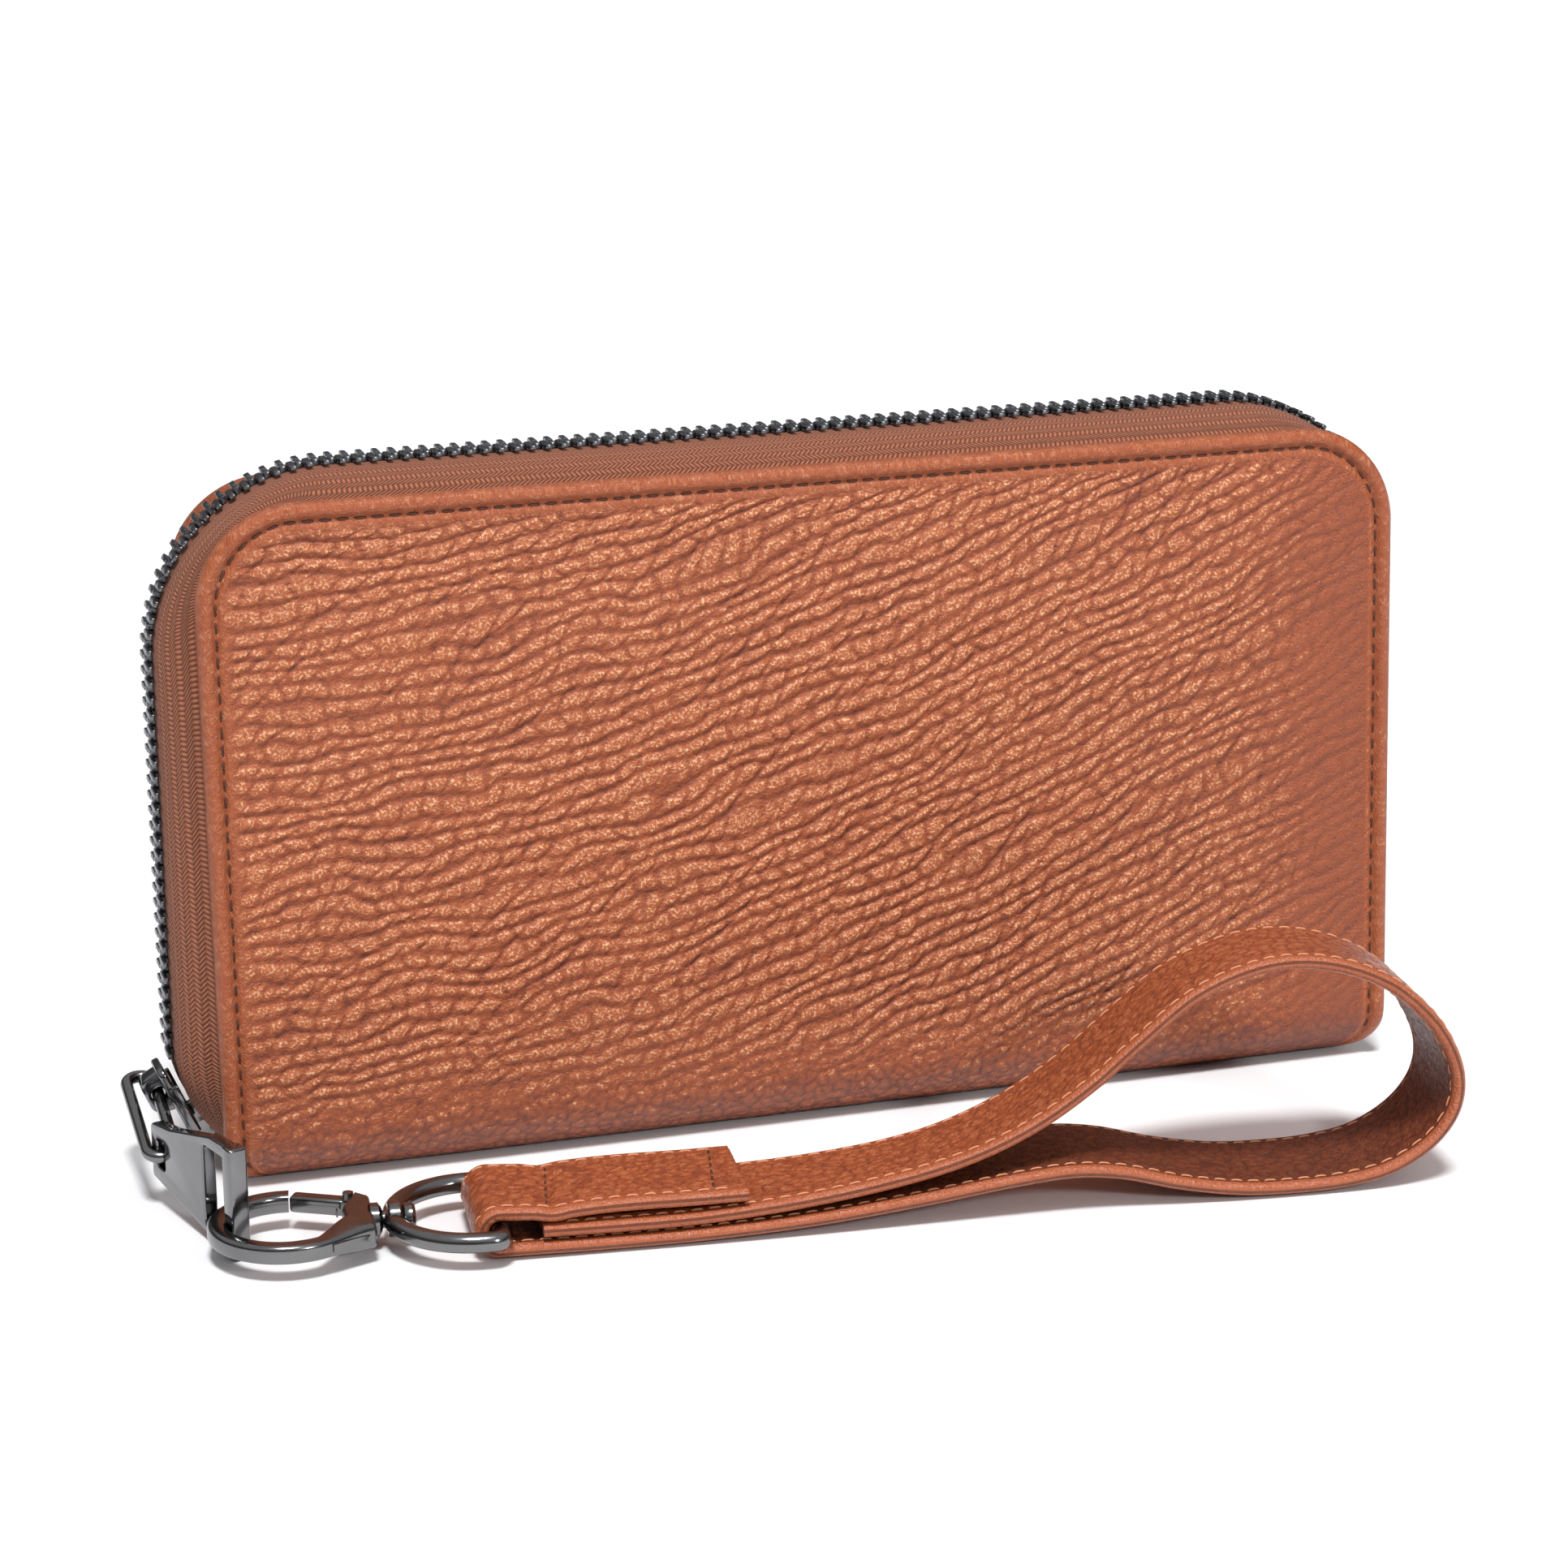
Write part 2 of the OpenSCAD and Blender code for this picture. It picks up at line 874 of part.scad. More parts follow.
module swivel_ring() {
    color(gunmetal)
        strap_frame()
            translate([0, 0, ring_z])
                difference() {
                    union() {
                        translate([boss_x, 0, 0])
                            rotate([0, 90, 0])
                                cylinder(r = 2.7, h = boss_l);
                        translate([ring_bow_x, 0, 0])
                            rotate([0, 0, 90])
                                rotate_extrude(angle = 180)
                                    translate([ring_half, 0])
                                        circle(ring_wire);
                        for (side = [-1, 1]) {
                            translate([ring_bow_x, side * ring_half, 0])
                                rotate([0, 90, 0])
                                    cylinder(r = ring_wire, h = ring_bar_x - ring_bow_x);
                            translate([ring_bar_x, side * ring_half, 0])
                                sphere(ring_wire);
                        }
                        translate([ring_bar_x, -ring_half, 0])
                            rotate([-90, 0, 0])
                                cylinder(r = ring_wire, h = 2 * ring_half);
                    }
                    translate([boss_x - 1, 0, 0])
                        rotate([0, 90, 0])
                            cylinder(r = post_r + pin_gap, h = boss_l + 2);
                    translate([boss_x + boss_l, 0, 0])
                        rotate([0, 90, 0])
                            cylinder(r = head_r + 0.15, h = head_l + 1);
                    translate([hook_base_x - 1, 0, 0])
                        rotate([0, 90, 0])
                            cylinder(r = 4, h = boss_x - hook_base_x + 1);
                }
}

// ---------- strap ----------

// Smooth curve through the route: point at a share t of the stretch after point i
function route_point(i, t) =
    let (
        last = len(strap_route) - 1,
        a = strap_route[max(i - 1, 0)],
        b = strap_route[i],
        c = strap_route[min(i + 1, last)],
        d = strap_route[min(i + 2, last)])
    0.5 * (2 * b + (c - a) * t + (2 * a - 5 * b + 4 * c - d) * t * t
        + (3 * b - a - 3 * c + d) * t * t * t);

strap_line = concat(
    [for (i = [0:len(strap_route) - 2]) for (k = [0:strap_steps - 1]) route_point(i, k / strap_steps)],
    [strap_route[len(strap_route) - 1]]);

// Leather ribbon along the route, upright in section where the loop turns over
module strap_loop() {
    last = len(strap_line) - 1;
    color(leather)
        strap_frame()
            translate([ring_bar_x, 0, 0])
                loft([
                    for (i = [0:last])
                        let (
                            run = strap_line[min(i + 1, last)] - strap_line[max(i - 1, 0)],
                            across = [-run[1], run[0]] / norm(run) * strap_t / 2,
                            low = strap_line[i] - across,
                            high = strap_line[i] + across)
                        [
                            [low[0], -strap_w / 2, low[1]],
                            [low[0], strap_w / 2, low[1]],
                            [high[0], strap_w / 2, high[1]],
                            [high[0], -strap_w / 2, high[1]],
                        ]
                ]);
}

// The end that wraps round the ring's bar
module strap_fold() {
    color(leather)
        strap_frame()
            translate([ring_bar_x, strap_w / 2, ring_z])
                rotate([90, 0, 0])
                    difference() {
                        linear_extrude(strap_w) {
                            circle(fold_out);
                            translate([0, -fold_out])
                                square([5, 2 * fold_out]);
                        }
                        translate([0, 0, -1])
                            cylinder(r = ring_wire + 0.08, h = strap_w + 2);
                    }
}

// Overlap that is sewn down over the strap's other end
module strap_flap() {
    color(leather)
        strap_frame()
            translate([ring_bar_x, strap_w / 2, flap_low])
                rotate([90, 0, 0])
                    linear_extrude(strap_w)
                        polygon([[5, 0], [flap_l, flap_rise], [flap_l, flap_rise + strap_t], [5, strap_t]]);
}

front_panel();
front_board();
front_lining();
spine();
front_slip_pocket();
front_card_pocket(1);  // front_card_pocket_1
front_card_pocket(2);  // front_card_pocket_2
front_card_pocket(3);  // front_card_pocket_3
front_card_pocket(4);  // front_card_pocket_4
front_tape();
front_teeth();
bottom_stop();
left_gusset_front();
right_gusset_front();
back_panel();
back_board();
back_lining();
back_slip_pocket();
back_card_pocket(1);  // back_card_pocket_1
back_card_pocket(2);  // back_card_pocket_2
back_card_pocket(3);  // back_card_pocket_3
back_card_pocket(4);  // back_card_pocket_4
back_tape();
back_teeth();
left_gusset_back();
right_gusset_back();
coin_wall_front();
coin_wall_back();
coin_tape_front();
coin_tape_back();
coin_teeth();
coin_slider();
coin_pull();
slider_body();
slider_crown();
pull_link();
pull_tab();
hook_body();
gate_pin();
hook_gate();
gate_spring();
swivel_ring();
strap_loop();
strap_fold();
strap_flap();
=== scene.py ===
"""Zip-around leather wallet with a detachable wrist strap.

Every piece is built in millimetres in the CAD's frame and turned into metres by mesh_piece().
"""

import json
import math

import bmesh
import bpy
import numpy as np
from mathutils import Matrix, Vector

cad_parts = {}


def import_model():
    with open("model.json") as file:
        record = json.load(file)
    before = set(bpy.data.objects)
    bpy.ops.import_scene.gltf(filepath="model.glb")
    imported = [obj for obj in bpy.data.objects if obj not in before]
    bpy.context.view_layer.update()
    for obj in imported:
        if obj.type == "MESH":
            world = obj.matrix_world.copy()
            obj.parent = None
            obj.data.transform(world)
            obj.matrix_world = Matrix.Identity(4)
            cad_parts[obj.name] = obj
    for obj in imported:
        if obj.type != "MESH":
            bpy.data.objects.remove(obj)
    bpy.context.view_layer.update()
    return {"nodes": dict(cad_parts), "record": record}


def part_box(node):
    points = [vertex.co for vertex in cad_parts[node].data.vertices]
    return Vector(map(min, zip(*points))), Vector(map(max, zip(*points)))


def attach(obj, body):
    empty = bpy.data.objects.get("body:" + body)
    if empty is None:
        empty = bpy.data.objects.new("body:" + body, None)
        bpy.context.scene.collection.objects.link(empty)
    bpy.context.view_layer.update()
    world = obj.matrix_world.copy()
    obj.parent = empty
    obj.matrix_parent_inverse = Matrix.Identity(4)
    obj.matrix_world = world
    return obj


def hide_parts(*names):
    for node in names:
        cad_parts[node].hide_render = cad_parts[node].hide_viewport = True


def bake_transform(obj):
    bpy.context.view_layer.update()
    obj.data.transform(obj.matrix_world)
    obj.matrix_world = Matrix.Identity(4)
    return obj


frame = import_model()

MM = 0.001
# Millimetres in one unit of a UV map, and the grain value of plain leather
UV_UNIT = 100
BASE_TONE = 0.62
# Grain height that lies on the smooth surface
GRAIN_LEVEL = 0.72

# ---------- sizes, in millimetres ----------


def node_box(name):
    """Lowest and highest corner of a CAD node, in millimetres."""
    low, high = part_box(name)
    return np.array(low) / MM, np.array(high) / MM


def joint(name):
    """Place of a joint's axis, in millimetres."""
    found = next(j for j in frame["record"]["behaviour"]["joints"] if j["name"] == name)
    return np.array(found["pos_m"]) / MM


HALF_W = node_box("front_panel")[1][0]
TOP_Z = node_box("front_panel")[1][2]
FOOT_Y = -node_box("spine")[0][1]
HINGE = joint("cover_fold")
CURVE = joint("slider_run")
BAR = joint("hook_swing")

LEAN = math.radians(2.2)
SPINE_R = 9.0
CORNER_R = 15.5
COVER_T = 2.4
SPINE_CORNER = 7.0

CHAIN_R = 27.3
CHAIN_X = -1.1
CHAIN_W = HALF_W + 4.8 + CHAIN_X
CHAIN_H = TOP_Z + 3.0
END_R = CHAIN_W - CHAIN_X + CURVE[0]
END_Z = CURVE[2]
END_TURN = math.radians(52)
CHAIN_FOOT = END_Z - END_R * math.sin(END_TURN)
TOOTH_PITCH = 2.4
TAPE_W = 13
SLIDER_TURN = 24.0

STITCH = 2.6
STITCH_LENGTH = 1.75
STRAP_TURN = math.radians(6.84)
STRAP_W = 19.5
STRAP_T = 2.3
STRAP_STITCH = 1.75
# How much of the loop's lean reaches its edges
STRAP_DROP = 0.6
BAR_X = 37.0
RING_Z = 4.3


# ---------- mesh helpers ----------


def stand(name, data):
    """A new object in the scene."""
    obj = bpy.data.objects.new(name, data)
    bpy.context.scene.collection.objects.link(obj)
    return obj


def mesh_piece(name, points, faces, materials, uv=None, grain=None, slots=None, smooth=True):
    """A Blender object from points in millimetres.

    uv and grain hold one value per point, slots one per face. The leather paints grain below the plain value
    as shade and above it as highlight.
    """
    data = bpy.data.meshes.new(name)
    data.from_pydata((np.asarray(points) * MM).tolist(), [], faces)
    if uv is not None:
        uv = np.asarray(uv, dtype=float)
        layer = data.uv_layers.new(name="UVMap")
        corners = np.empty(len(data.loops), dtype=np.int32)
        data.loops.foreach_get("vertex_index", corners)
        layer.data.foreach_set("uv", (uv[corners] / UV_UNIT).ravel())
    if grain is not None:
        attribute = data.attributes.new("grain", "FLOAT", "POINT")
        attribute.data.foreach_set("value", np.asarray(grain, dtype=float))
    for material in materials if isinstance(materials, (list, tuple)) else [materials]:
        data.materials.append(material)
    if slots is not None:
        data.polygons.foreach_set("material_index", slots)
    data.polygons.foreach_set("use_smooth", [smooth] * len(data.polygons))
    data.update()
    return stand(name, data)


def stack(*coordinates):
    """Points from arrays of their coordinates."""
    return np.stack(coordinates, axis=-1)


def unit(vectors):
    """The same directions with length 1."""
    return vectors / np.linalg.norm(vectors, axis=-1, keepdims=True)


def grid_faces(rows, columns, start=0, close_rows=False, close_columns=False):
    """Quads between neighbouring points of a grid whose points are stored row by row."""
    i = np.arange(rows if close_rows else rows - 1)
    j = np.arange(columns if close_columns else columns - 1)
    i, j = np.meshgrid(i, j, indexing="ij")
    ni, nj = (i + 1) % rows, (j + 1) % columns
    quads = stack(i * columns + j, i * columns + nj, ni * columns + nj, ni * columns + j)
    return (quads.reshape(-1, 4) + start).tolist()


def sweep(rings):
    """Points and faces of a closed skin through rings of equal length, with a cap at each end."""
    rings = np.asarray(rings)
    count, n = rings.shape[:2]
    faces = grid_faces(count, n, close_columns=True)
    return rings.reshape(-1, 3), faces + [list(range(n))[::-1], list(range((count - 1) * n, count * n))]


def fix_normals(obj):
    """Turns every face outwards."""
    mesh = bmesh.new()
    mesh.from_mesh(obj.data)
    bmesh.ops.recalc_face_normals(mesh, faces=mesh.faces)
    mesh.to_mesh(obj.data)
    mesh.free()
    return obj


def tube(path, radius, sides=12, closed=False):
    """Points and faces of a round wire along a path."""
    path = np.asarray(path, dtype=float)
    if closed:
        tangent = np.roll(path, -1, axis=0) - np.roll(path, 1, axis=0)
    else:
        tangent = np.gradient(path, axis=0)
    tangent = unit(tangent)
    side = np.cross(tangent, [0.0, 0.0, 1.0])
    weak = np.linalg.norm(side, axis=1) < 1e-3
    side[weak] = np.cross(tangent[weak], [0.0, 1.0, 0.0])
    side = unit(side)
    up = np.cross(side, tangent)
    angle = np.linspace(0, 2 * math.pi, sides, endpoint=False)
    rings = path[:, None] + radius * (
        np.cos(angle)[None, :, None] * side[:, None] + np.sin(angle)[None, :, None] * up[:, None])
    if closed:
        return rings.reshape(-1, 3), grid_faces(len(path), sides, close_rows=True, close_columns=True)
    return sweep(rings)


def smoothstep(low, high, x):
    """Smooth step from 0 at low to 1 at high."""
    t = np.clip((np.asarray(x, dtype=float) - low) / (high - low), 0, 1)
    return t * t * (3 - 2 * t)


def round_over(share):
    """Quarter round, from 0 at the edge to 1 at a share of 1."""
    return np.sqrt(np.clip(1 - (1 - np.clip(share, 0, 1)) ** 2, 0, 1))


def merge(parts):
    """Joins (points, faces) pairs into one."""
    points, faces, start = [], [], 0
    for part_points, part_faces in parts:
        points.append(part_points)
        faces += [[i + start for i in face] for face in part_faces]
        start += len(part_points)
    return np.concatenate(points), faces


def sharpen(obj, degrees=32):
    """Smooth shading with a crisp line wherever two faces meet at more than this angle."""
    obj.data.set_sharp_from_angle(angle=math.radians(degrees))
    return obj


def hard_piece(name, part, material, degrees=32):
    """A piece with crisp edges from one (points, faces) pair."""
    return sharpen(fix_normals(mesh_piece(name, *part, material)), degrees)


def taken(mesh):
    """Points and faces of a bmesh, which ends here."""
    mesh.verts.ensure_lookup_table()
    points = np.array([v.co[:] for v in mesh.verts])
    faces = [[v.index for v in f.verts] for f in mesh.faces]
    mesh.free()
    return points, faces


def rounded_block(low, high, bevel, segments=2):
    """Points and faces of a bevelled box."""
    mesh = bmesh.new()
    bmesh.ops.create_cube(mesh, size=1)
    low, high = np.asarray(low, float), np.asarray(high, float)
    for vertex in mesh.verts:
        vertex.co = Vector(low + (np.array(vertex.co) + 0.5) * (high - low))
    bmesh.ops.bevel(mesh, geom=mesh.edges[:], offset=bevel, segments=segments, affect="EDGES", profile=0.5)
    return taken(mesh)


def rounded(corners, steps=6):
    """Closed outline through (x, y, radius) corners."""
    made = []
    for before, (x, y, radius), after in zip(corners[-1:] + corners[:-1], corners, corners[1:] + corners[:1]):
        corner = np.array([x, y], float)
        if radius == 0:
            made.append(corner)
            continue
        a, b = (unit(np.array(p[:2], float) - corner) for p in (before, after))
        half = math.acos(np.clip(a @ b, -1, 1)) / 2
        centre = corner + unit(a + b) * radius / math.sin(half)
        start, end = (corner + c * radius / math.tan(half) - centre for c in (a, b))
        turn = math.pi - 2 * half
        for t in np.arange(steps + 1) / steps:
            arm = start * math.sin((1 - t) * turn) + end * math.sin(t * turn)
            made.append(centre + arm / math.sin(turn))
    return made


def arc(x, y, radius, start, end, steps=24):
    """Points of an arc, angles in degrees."""
    angles = np.radians(np.linspace(start, end, steps))
    return [(x + radius * math.cos(a), y + radius * math.sin(a)) for a in angles]


def cast(loops, thickness, bevel, segments=3):
    """Points and faces of a plate with rounded edges, outlined by closed loops of x and y; z is across it."""
    curve = bpy.data.curves.new("outline", "CURVE")
    curve.dimensions, curve.fill_mode = "2D", "BOTH"
    curve.extrude, curve.bevel_depth = thickness / 2 - bevel, bevel
    curve.bevel_resolution, curve.offset = segments, -bevel
    for loop in loops:
        spline = curve.splines.new("POLY")
        spline.points.add(len(loop) - 1)
        for point, (x, y) in zip(spline.points, loop):
            point.co = (x, y, 0, 1)
        spline.use_cyclic_u = True
    holder = bpy.data.objects.new("outline", curve)
    data = bpy.data.meshes.new_from_object(holder)
    mesh = bmesh.new()
    mesh.from_mesh(data)
    bmesh.ops.remove_doubles(mesh, verts=mesh.verts[:], dist=0.002)
    bpy.data.objects.remove(holder)
    bpy.data.meshes.remove(data)
    bpy.data.curves.remove(curve)
    return taken(mesh)


def lathe(profile, hollow=False, sides=40):
    """Points and faces of a profile of (x, radius) points turned about the x axis."""
    profile = np.asarray(profile, float)
    turn = np.linspace(0, 2 * math.pi, sides, endpoint=False)
    x, radius = np.repeat(profile[:, :1], sides, axis=1), profile[:, 1:]
    rings = stack(x, radius * np.cos(turn), radius * np.sin(turn))
    if hollow:
        return rings.reshape(-1, 3), grid_faces(len(profile), sides, close_rows=True, close_columns=True)
    return sweep(rings)


def mapped(part, *axes, origin=(0, 0, 0)):
    """A part with its x, y and z laid along three directions from an origin."""
    points, faces = part
    return points @ np.asarray(axes, float) + np.asarray(origin, float), faces


def walk(route):
    """Distance along a route at each of its points."""
    return np.concatenate([[0], np.cumsum(np.linalg.norm(np.diff(route, axis=0), axis=1))])


def read_off(along, values, at):
    """Rows of values, given at distances along a route, read off at other distances."""
    return stack(*(np.interp(at, along, column) for column in values.T))


def left_of(line):
    """Direction to the left of a line in its plane, at each of its points."""
    tangent = unit(np.gradient(line, axis=0))
    return stack(-tangent[:, 1], tangent[:, 0])


def heading(run):
    """Length of a run in the plan, and the directions along it and to its left."""
    forward = np.array([*unit(run), 0])
    return float(np.linalg.norm(run)), forward, np.array([-forward[1], forward[0], 0])


# ---------- leather grain ----------


def hashed(i, j, salt):
    """Repeatable random numbers from 0 to 1 for the cells of a grid."""
    n = np.sin(i * 127.1 + j * 311.7 + salt * 74.7) * 43758.5453
    return n - np.floor(n)


def cells(u, v, salt=0):
    """Distance to the border between the two nearest cells, and a random number of the nearest cell."""
    ci, cj = np.floor(u), np.floor(v)
    first, second, tone = np.full(u.shape, 9.0), np.full(u.shape, 9.0), np.zeros(u.shape)
    for di, dj in np.ndindex(3, 3):
        i, j = ci + di - 1, cj + dj - 1
        gap = np.hypot(i + hashed(i, j, salt + 1) - u, j + hashed(i, j, salt + 2) - v)
        nearer = gap < first
        second = np.where(nearer, first, np.minimum(second, gap))
        tone = np.where(nearer, hashed(i, j, salt + 3), tone)
        first = np.where(nearer, gap, first)
    return second - first, tone


def waves(u, v, salt=0):
    """Smooth value noise from -1 to 1."""
    i, j = np.floor(u), np.floor(v)
    fu, fv = smoothstep(0, 1, u - i), smoothstep(0, 1, v - j)
    corner = [[hashed(i + a, j + b, salt) for b in (0, 1)] for a in (0, 1)]
    low = corner[0][0] * (1 - fu) + corner[1][0] * fu
    high = corner[0][1] * (1 - fu) + corner[1][1] * fu
    return 2 * (low * (1 - fv) + high * fv) - 1


def pillows(u, v, along, across, salt=0, crease=0.5):
    """Height from 0 to 1 of swollen cells with sharp creases between them, along by across millimetres."""
    bend_u = u + 0.5 * along * waves(u / along / 1.6, v / across / 2.2, salt)
    bend_v = v + 0.42 * across * waves(u / along / 0.9, v / across / 1.7, salt + 9)
    edge, tone = cells(bend_u / along, bend_v / across, salt)
    rise = 1 - (1 - np.clip(edge / crease, 0, 1)) ** 2
    return rise * (0.78 + 0.22 * tone)


def short_grain(u, v, salt=0):
    """Round pebbles with smaller ones between."""
    return 0.7 * pillows(u, v, 2.1, 1.7, salt) + 0.3 * pillows(u, v, 1.1, 0.9, salt + 20)


def rows(u, v, pitch, length, salt=0):
    """Height from 0 to 1 of swollen rows along u, each split into pebbles by shallower creases."""
    across = v / pitch + 0.6 * waves(u / 13, v / 8, salt) + 0.28 * waves(u / 4.2, v / 3.1, salt + 3)
    row = np.floor(across)
    t = across - row
    broken = 0.74 + 0.26 * waves(u / 6, v / 3.5, salt + 7)
    ridge = 1 - broken * np.abs(2 * t - 1) ** 2.0
    along = u / length + 7 * hashed(row, 0 * row, salt + 5) + 0.5 * waves(u / 5, across, salt + 6)
    along -= 0.25 * (t - 0.5)
    pebble = np.floor(along)
    side = np.minimum(along - pebble, pebble + 1 - along)
    deep = 0.2 + 0.5 * hashed(pebble, row, salt + 8)
    return ridge * (1 - deep * np.exp(-(side / 0.12) ** 2))


def folds(u, v, salt=0):
    """Creases from 0 to 1 that cross the rows at a slant, here and there."""
    slant = math.radians(34)
    along = u * math.cos(slant) + v * math.sin(slant)
    across = v * math.cos(slant) - u * math.sin(slant)
    line = across / 5.2 + 0.5 * waves(along / 14, across / 9, salt)
    gap = np.abs(line - np.round(line))
    return np.exp(-(gap / 0.075) ** 2) * smoothstep(-0.15, 0.45, waves(along / 9, across / 6, salt + 4))


def long_grain(u, v, salt=0):
    """Rows of pebbles along u, crossed by a few slanting folds."""
    pebbles = 0.74 * rows(u, v, 2.6, 3.6, salt) + 0.26 * pillows(u, v, 1.9, 1.3, salt + 30, 0.6)
    return pebbles - 0.3 * folds(u, v, salt + 60)


# ---------- materials ----------


class Nodes:
    """Short way to add and join the nodes of one material."""

    def __init__(self, name):
        self.material = bpy.data.materials.new(name)
        self.material.use_nodes = True
        self.tree = self.material.node_tree
        self.shader = self.tree.nodes["Principled BSDF"]

    def add(self, kind, inputs=None, **settings):
        """A node. Its inputs are linked to sockets and set to numbers."""
        node = self.tree.nodes.new(kind)
        for key, value in settings.items():
            setattr(node, key, value)
        for key, value in (inputs or {}).items():
            if isinstance(value, bpy.types.NodeSocket):
                self.tree.links.new(value, node.inputs[key])
            else:
                node.inputs[key].default_value = value
        return node

    def link(self, socket, name):
        """Joins a socket to one of the shader's own."""
        self.tree.links.new(socket, self.shader.inputs[name])

    def settings(self, **values):
        """Numbers for the shader's own sockets; an underscore stands for a space."""
        for key, value in values.items():
            self.shader.inputs[key.replace("_", " ")].default_value = value

    def place(self, kind):
        """A texture coordinate."""
        return self.add("ShaderNodeTexCoord").outputs[kind]

    def math(self, operation, a, b=0.0):
        """One sum of two values."""
        return self.add("ShaderNodeMath", {0: a, 1: b}, operation=operation).outputs[0]

    def ripple(self, value):
        """Ridges one unit apart, from 0 to 1."""
        return self.math("ABSOLUTE", self.math("SINE", self.math("MULTIPLY", value, math.pi)))

    def remap(self, value, low, high, to_low=0.0, to_high=1.0):
        """A value carried from one range to another, and held inside it."""
        node = self.add("ShaderNodeMapRange", {
            "Value": value, "From Min": low, "From Max": high, "To Min": to_low, "To Max": to_high})
        return node.outputs["Result"]

    def cracks(self, vector, scale):
        """Distance to the nearest border between random cells."""
        return self.add("ShaderNodeTexVoronoi", {"Vector": vector, "Scale": scale},
                        feature="DISTANCE_TO_EDGE").outputs["Distance"]

    def mix(self, factor, a, b):
        """Colour between a and b, each a socket or a colour."""
        node = self.add("ShaderNodeMix", {"Factor": factor}, data_type="RGBA")
        for key, value in ((6, a), (7, b)):
            if isinstance(value, bpy.types.NodeSocket):
                self.tree.links.new(value, node.inputs[key])
            else:
                node.inputs[key].default_value = (*value, 1)
        return node.outputs[2]

    def bump(self, height, strength, distance, normal=None):
        """A normal with this height added, up to distance metres."""
        inputs = {"Height": height, "Strength": strength, "Distance": distance}
        if normal is not None:
            inputs["Normal"] = normal
        return self.add("ShaderNodeBump", inputs).outputs["Normal"]

    def noise(self, vector, scale, detail=3.0, roughness=0.55):
        """Cloudy noise from 0 to 1."""
        return self.add("ShaderNodeTexNoise", {
            "Vector": vector, "Scale": scale, "Detail": detail, "Roughness": roughness}).outputs["Fac"]


def leather(name, colour, groove, painted_highlight, roughness=0.4, own_cells=0.0, gloss=0.55, glint_flecks=0.0):
    """Pebbled leather. The large grain is in the mesh, and its height paints shade into the grooves and
    highlight onto the peaks.

    own_cells is the depth, in metres, of grain added by bump for pieces whose mesh has little. The last
    argument sets how strongly pale flecks are painted on the tops as glints. One unit of the UV map is 100 mm.
    """
    n = Nodes(name)
    uv = n.place("UV")
    cloud = n.noise(uv, 6, 4)
    pores = n.noise(uv, 210, 3, 0.6)
    flecks = n.cracks(uv, 190)
    tone = n.mix(n.math("MULTIPLY", cloud, 0.55), colour, tuple(c * 0.78 for c in colour))
    grain = n.add("ShaderNodeAttribute", attribute_name="grain").outputs["Fac"]
    # Painted shade darkens the grooves and painted highlight lightens the peaks
    tone = n.mix(n.remap(grain, BASE_TONE, 0.06), tone, groove)
    tone = n.mix(n.remap(grain, BASE_TONE, 0.98, 0.0, 0.8), tone, painted_highlight)
    # Painted glints: pale flecks on the tops of the pebbles
    top = n.remap(grain, 0.60, 0.80)
    painted_glint = n.remap(pores, 0.50, 0.60, 0.0, glint_flecks)
    n.link(n.mix(n.math("MULTIPLY", top, painted_glint), tone, tuple(c ** 0.45 for c in painted_highlight)), "Base Color")
    dull = n.math("SUBTRACT", pores, n.math("MULTIPLY", grain, 0.25))
    n.link(n.remap(dull, 0.15, 0.55, roughness - 0.10, roughness + 0.14), "Roughness")
    normal = n.bump(flecks, 0.7, 0.0002)
    normal = n.bump(pores, 1.0, 0.00035, normal)
    if own_cells:
        normal = n.bump(n.math("MULTIPLY", n.cracks(uv, 62), 2.6), 0.6, own_cells, normal)
    n.link(normal, "Normal")
    n.link(normal, "Coat Normal")
    n.settings(Specular_IOR_Level=0.4, Coat_Weight=gloss, Coat_Roughness=0.26)
    return n.material


def twill(name, dark, light, rib, across):
    """Woven tape in herringbone: ribs slant one way in one column and the other way in the next."""
    n = Nodes(name)
    uv = n.place("UV")
    split = n.add("ShaderNodeSeparateXYZ", {"Vector": uv})
    u = n.math("MULTIPLY", split.outputs["X"], UV_UNIT / rib)
    v = n.math("MULTIPLY", split.outputs["Y"], UV_UNIT / across)
    slant = n.math("MULTIPLY", n.math("PINGPONG", v, 1.0), 1.2)
    column = n.math("ADD", 0.45, n.math("MULTIPLY", n.ripple(v), 0.55))
    yarn = n.math("MULTIPLY", n.ripple(n.math("ADD", u, slant)), column)
    fuzz = n.noise(uv, 300, 2)
    tone = n.mix(yarn, dark, light)
    tone = n.mix(n.math("MULTIPLY", fuzz, 0.35), tone, tuple(c * 0.7 for c in dark))
    n.link(tone, "Base Color")
    normal = n.bump(yarn, 0.9, 0.0003)
    n.link(n.bump(fuzz, 0.4, 0.00006, normal), "Normal")
    n.settings(Roughness=0.78, Sheen_Weight=0.06, Sheen_Roughness=0.4)
    return n.material


def metal(name, colour, roughness, streaks):
    """Dark plated metal with fine polishing marks and slightly cloudy gloss."""
    n = Nodes(name)
    here = n.place("Object")
    cloud = n.noise(here, 160, 4)
    marks = n.noise(here, 2600, 2)
    dark, pale = tuple(c * 0.8 for c in colour), tuple(min(1, c * 1.25) for c in colour)
    n.link(n.mix(cloud, dark, pale), "Base Color")
    n.link(n.remap(cloud, 0.3, 0.7, roughness, roughness + streaks), "Roughness")
    n.link(n.bump(marks, 0.05, 0.00002), "Normal")
    n.settings(Metallic=1.0)
    return n.material


def thread(name, colour):
    """Twisted sewing thread."""
    n = Nodes(name)
    fibre = n.noise(n.place("Object"), 1800, 3)
    n.link(n.mix(fibre, tuple(c * 0.7 for c in colour), colour), "Base Color")
    n.link(n.bump(fibre, 0.4, 0.00006), "Normal")
    n.settings(Roughness=0.6)
    return n.material


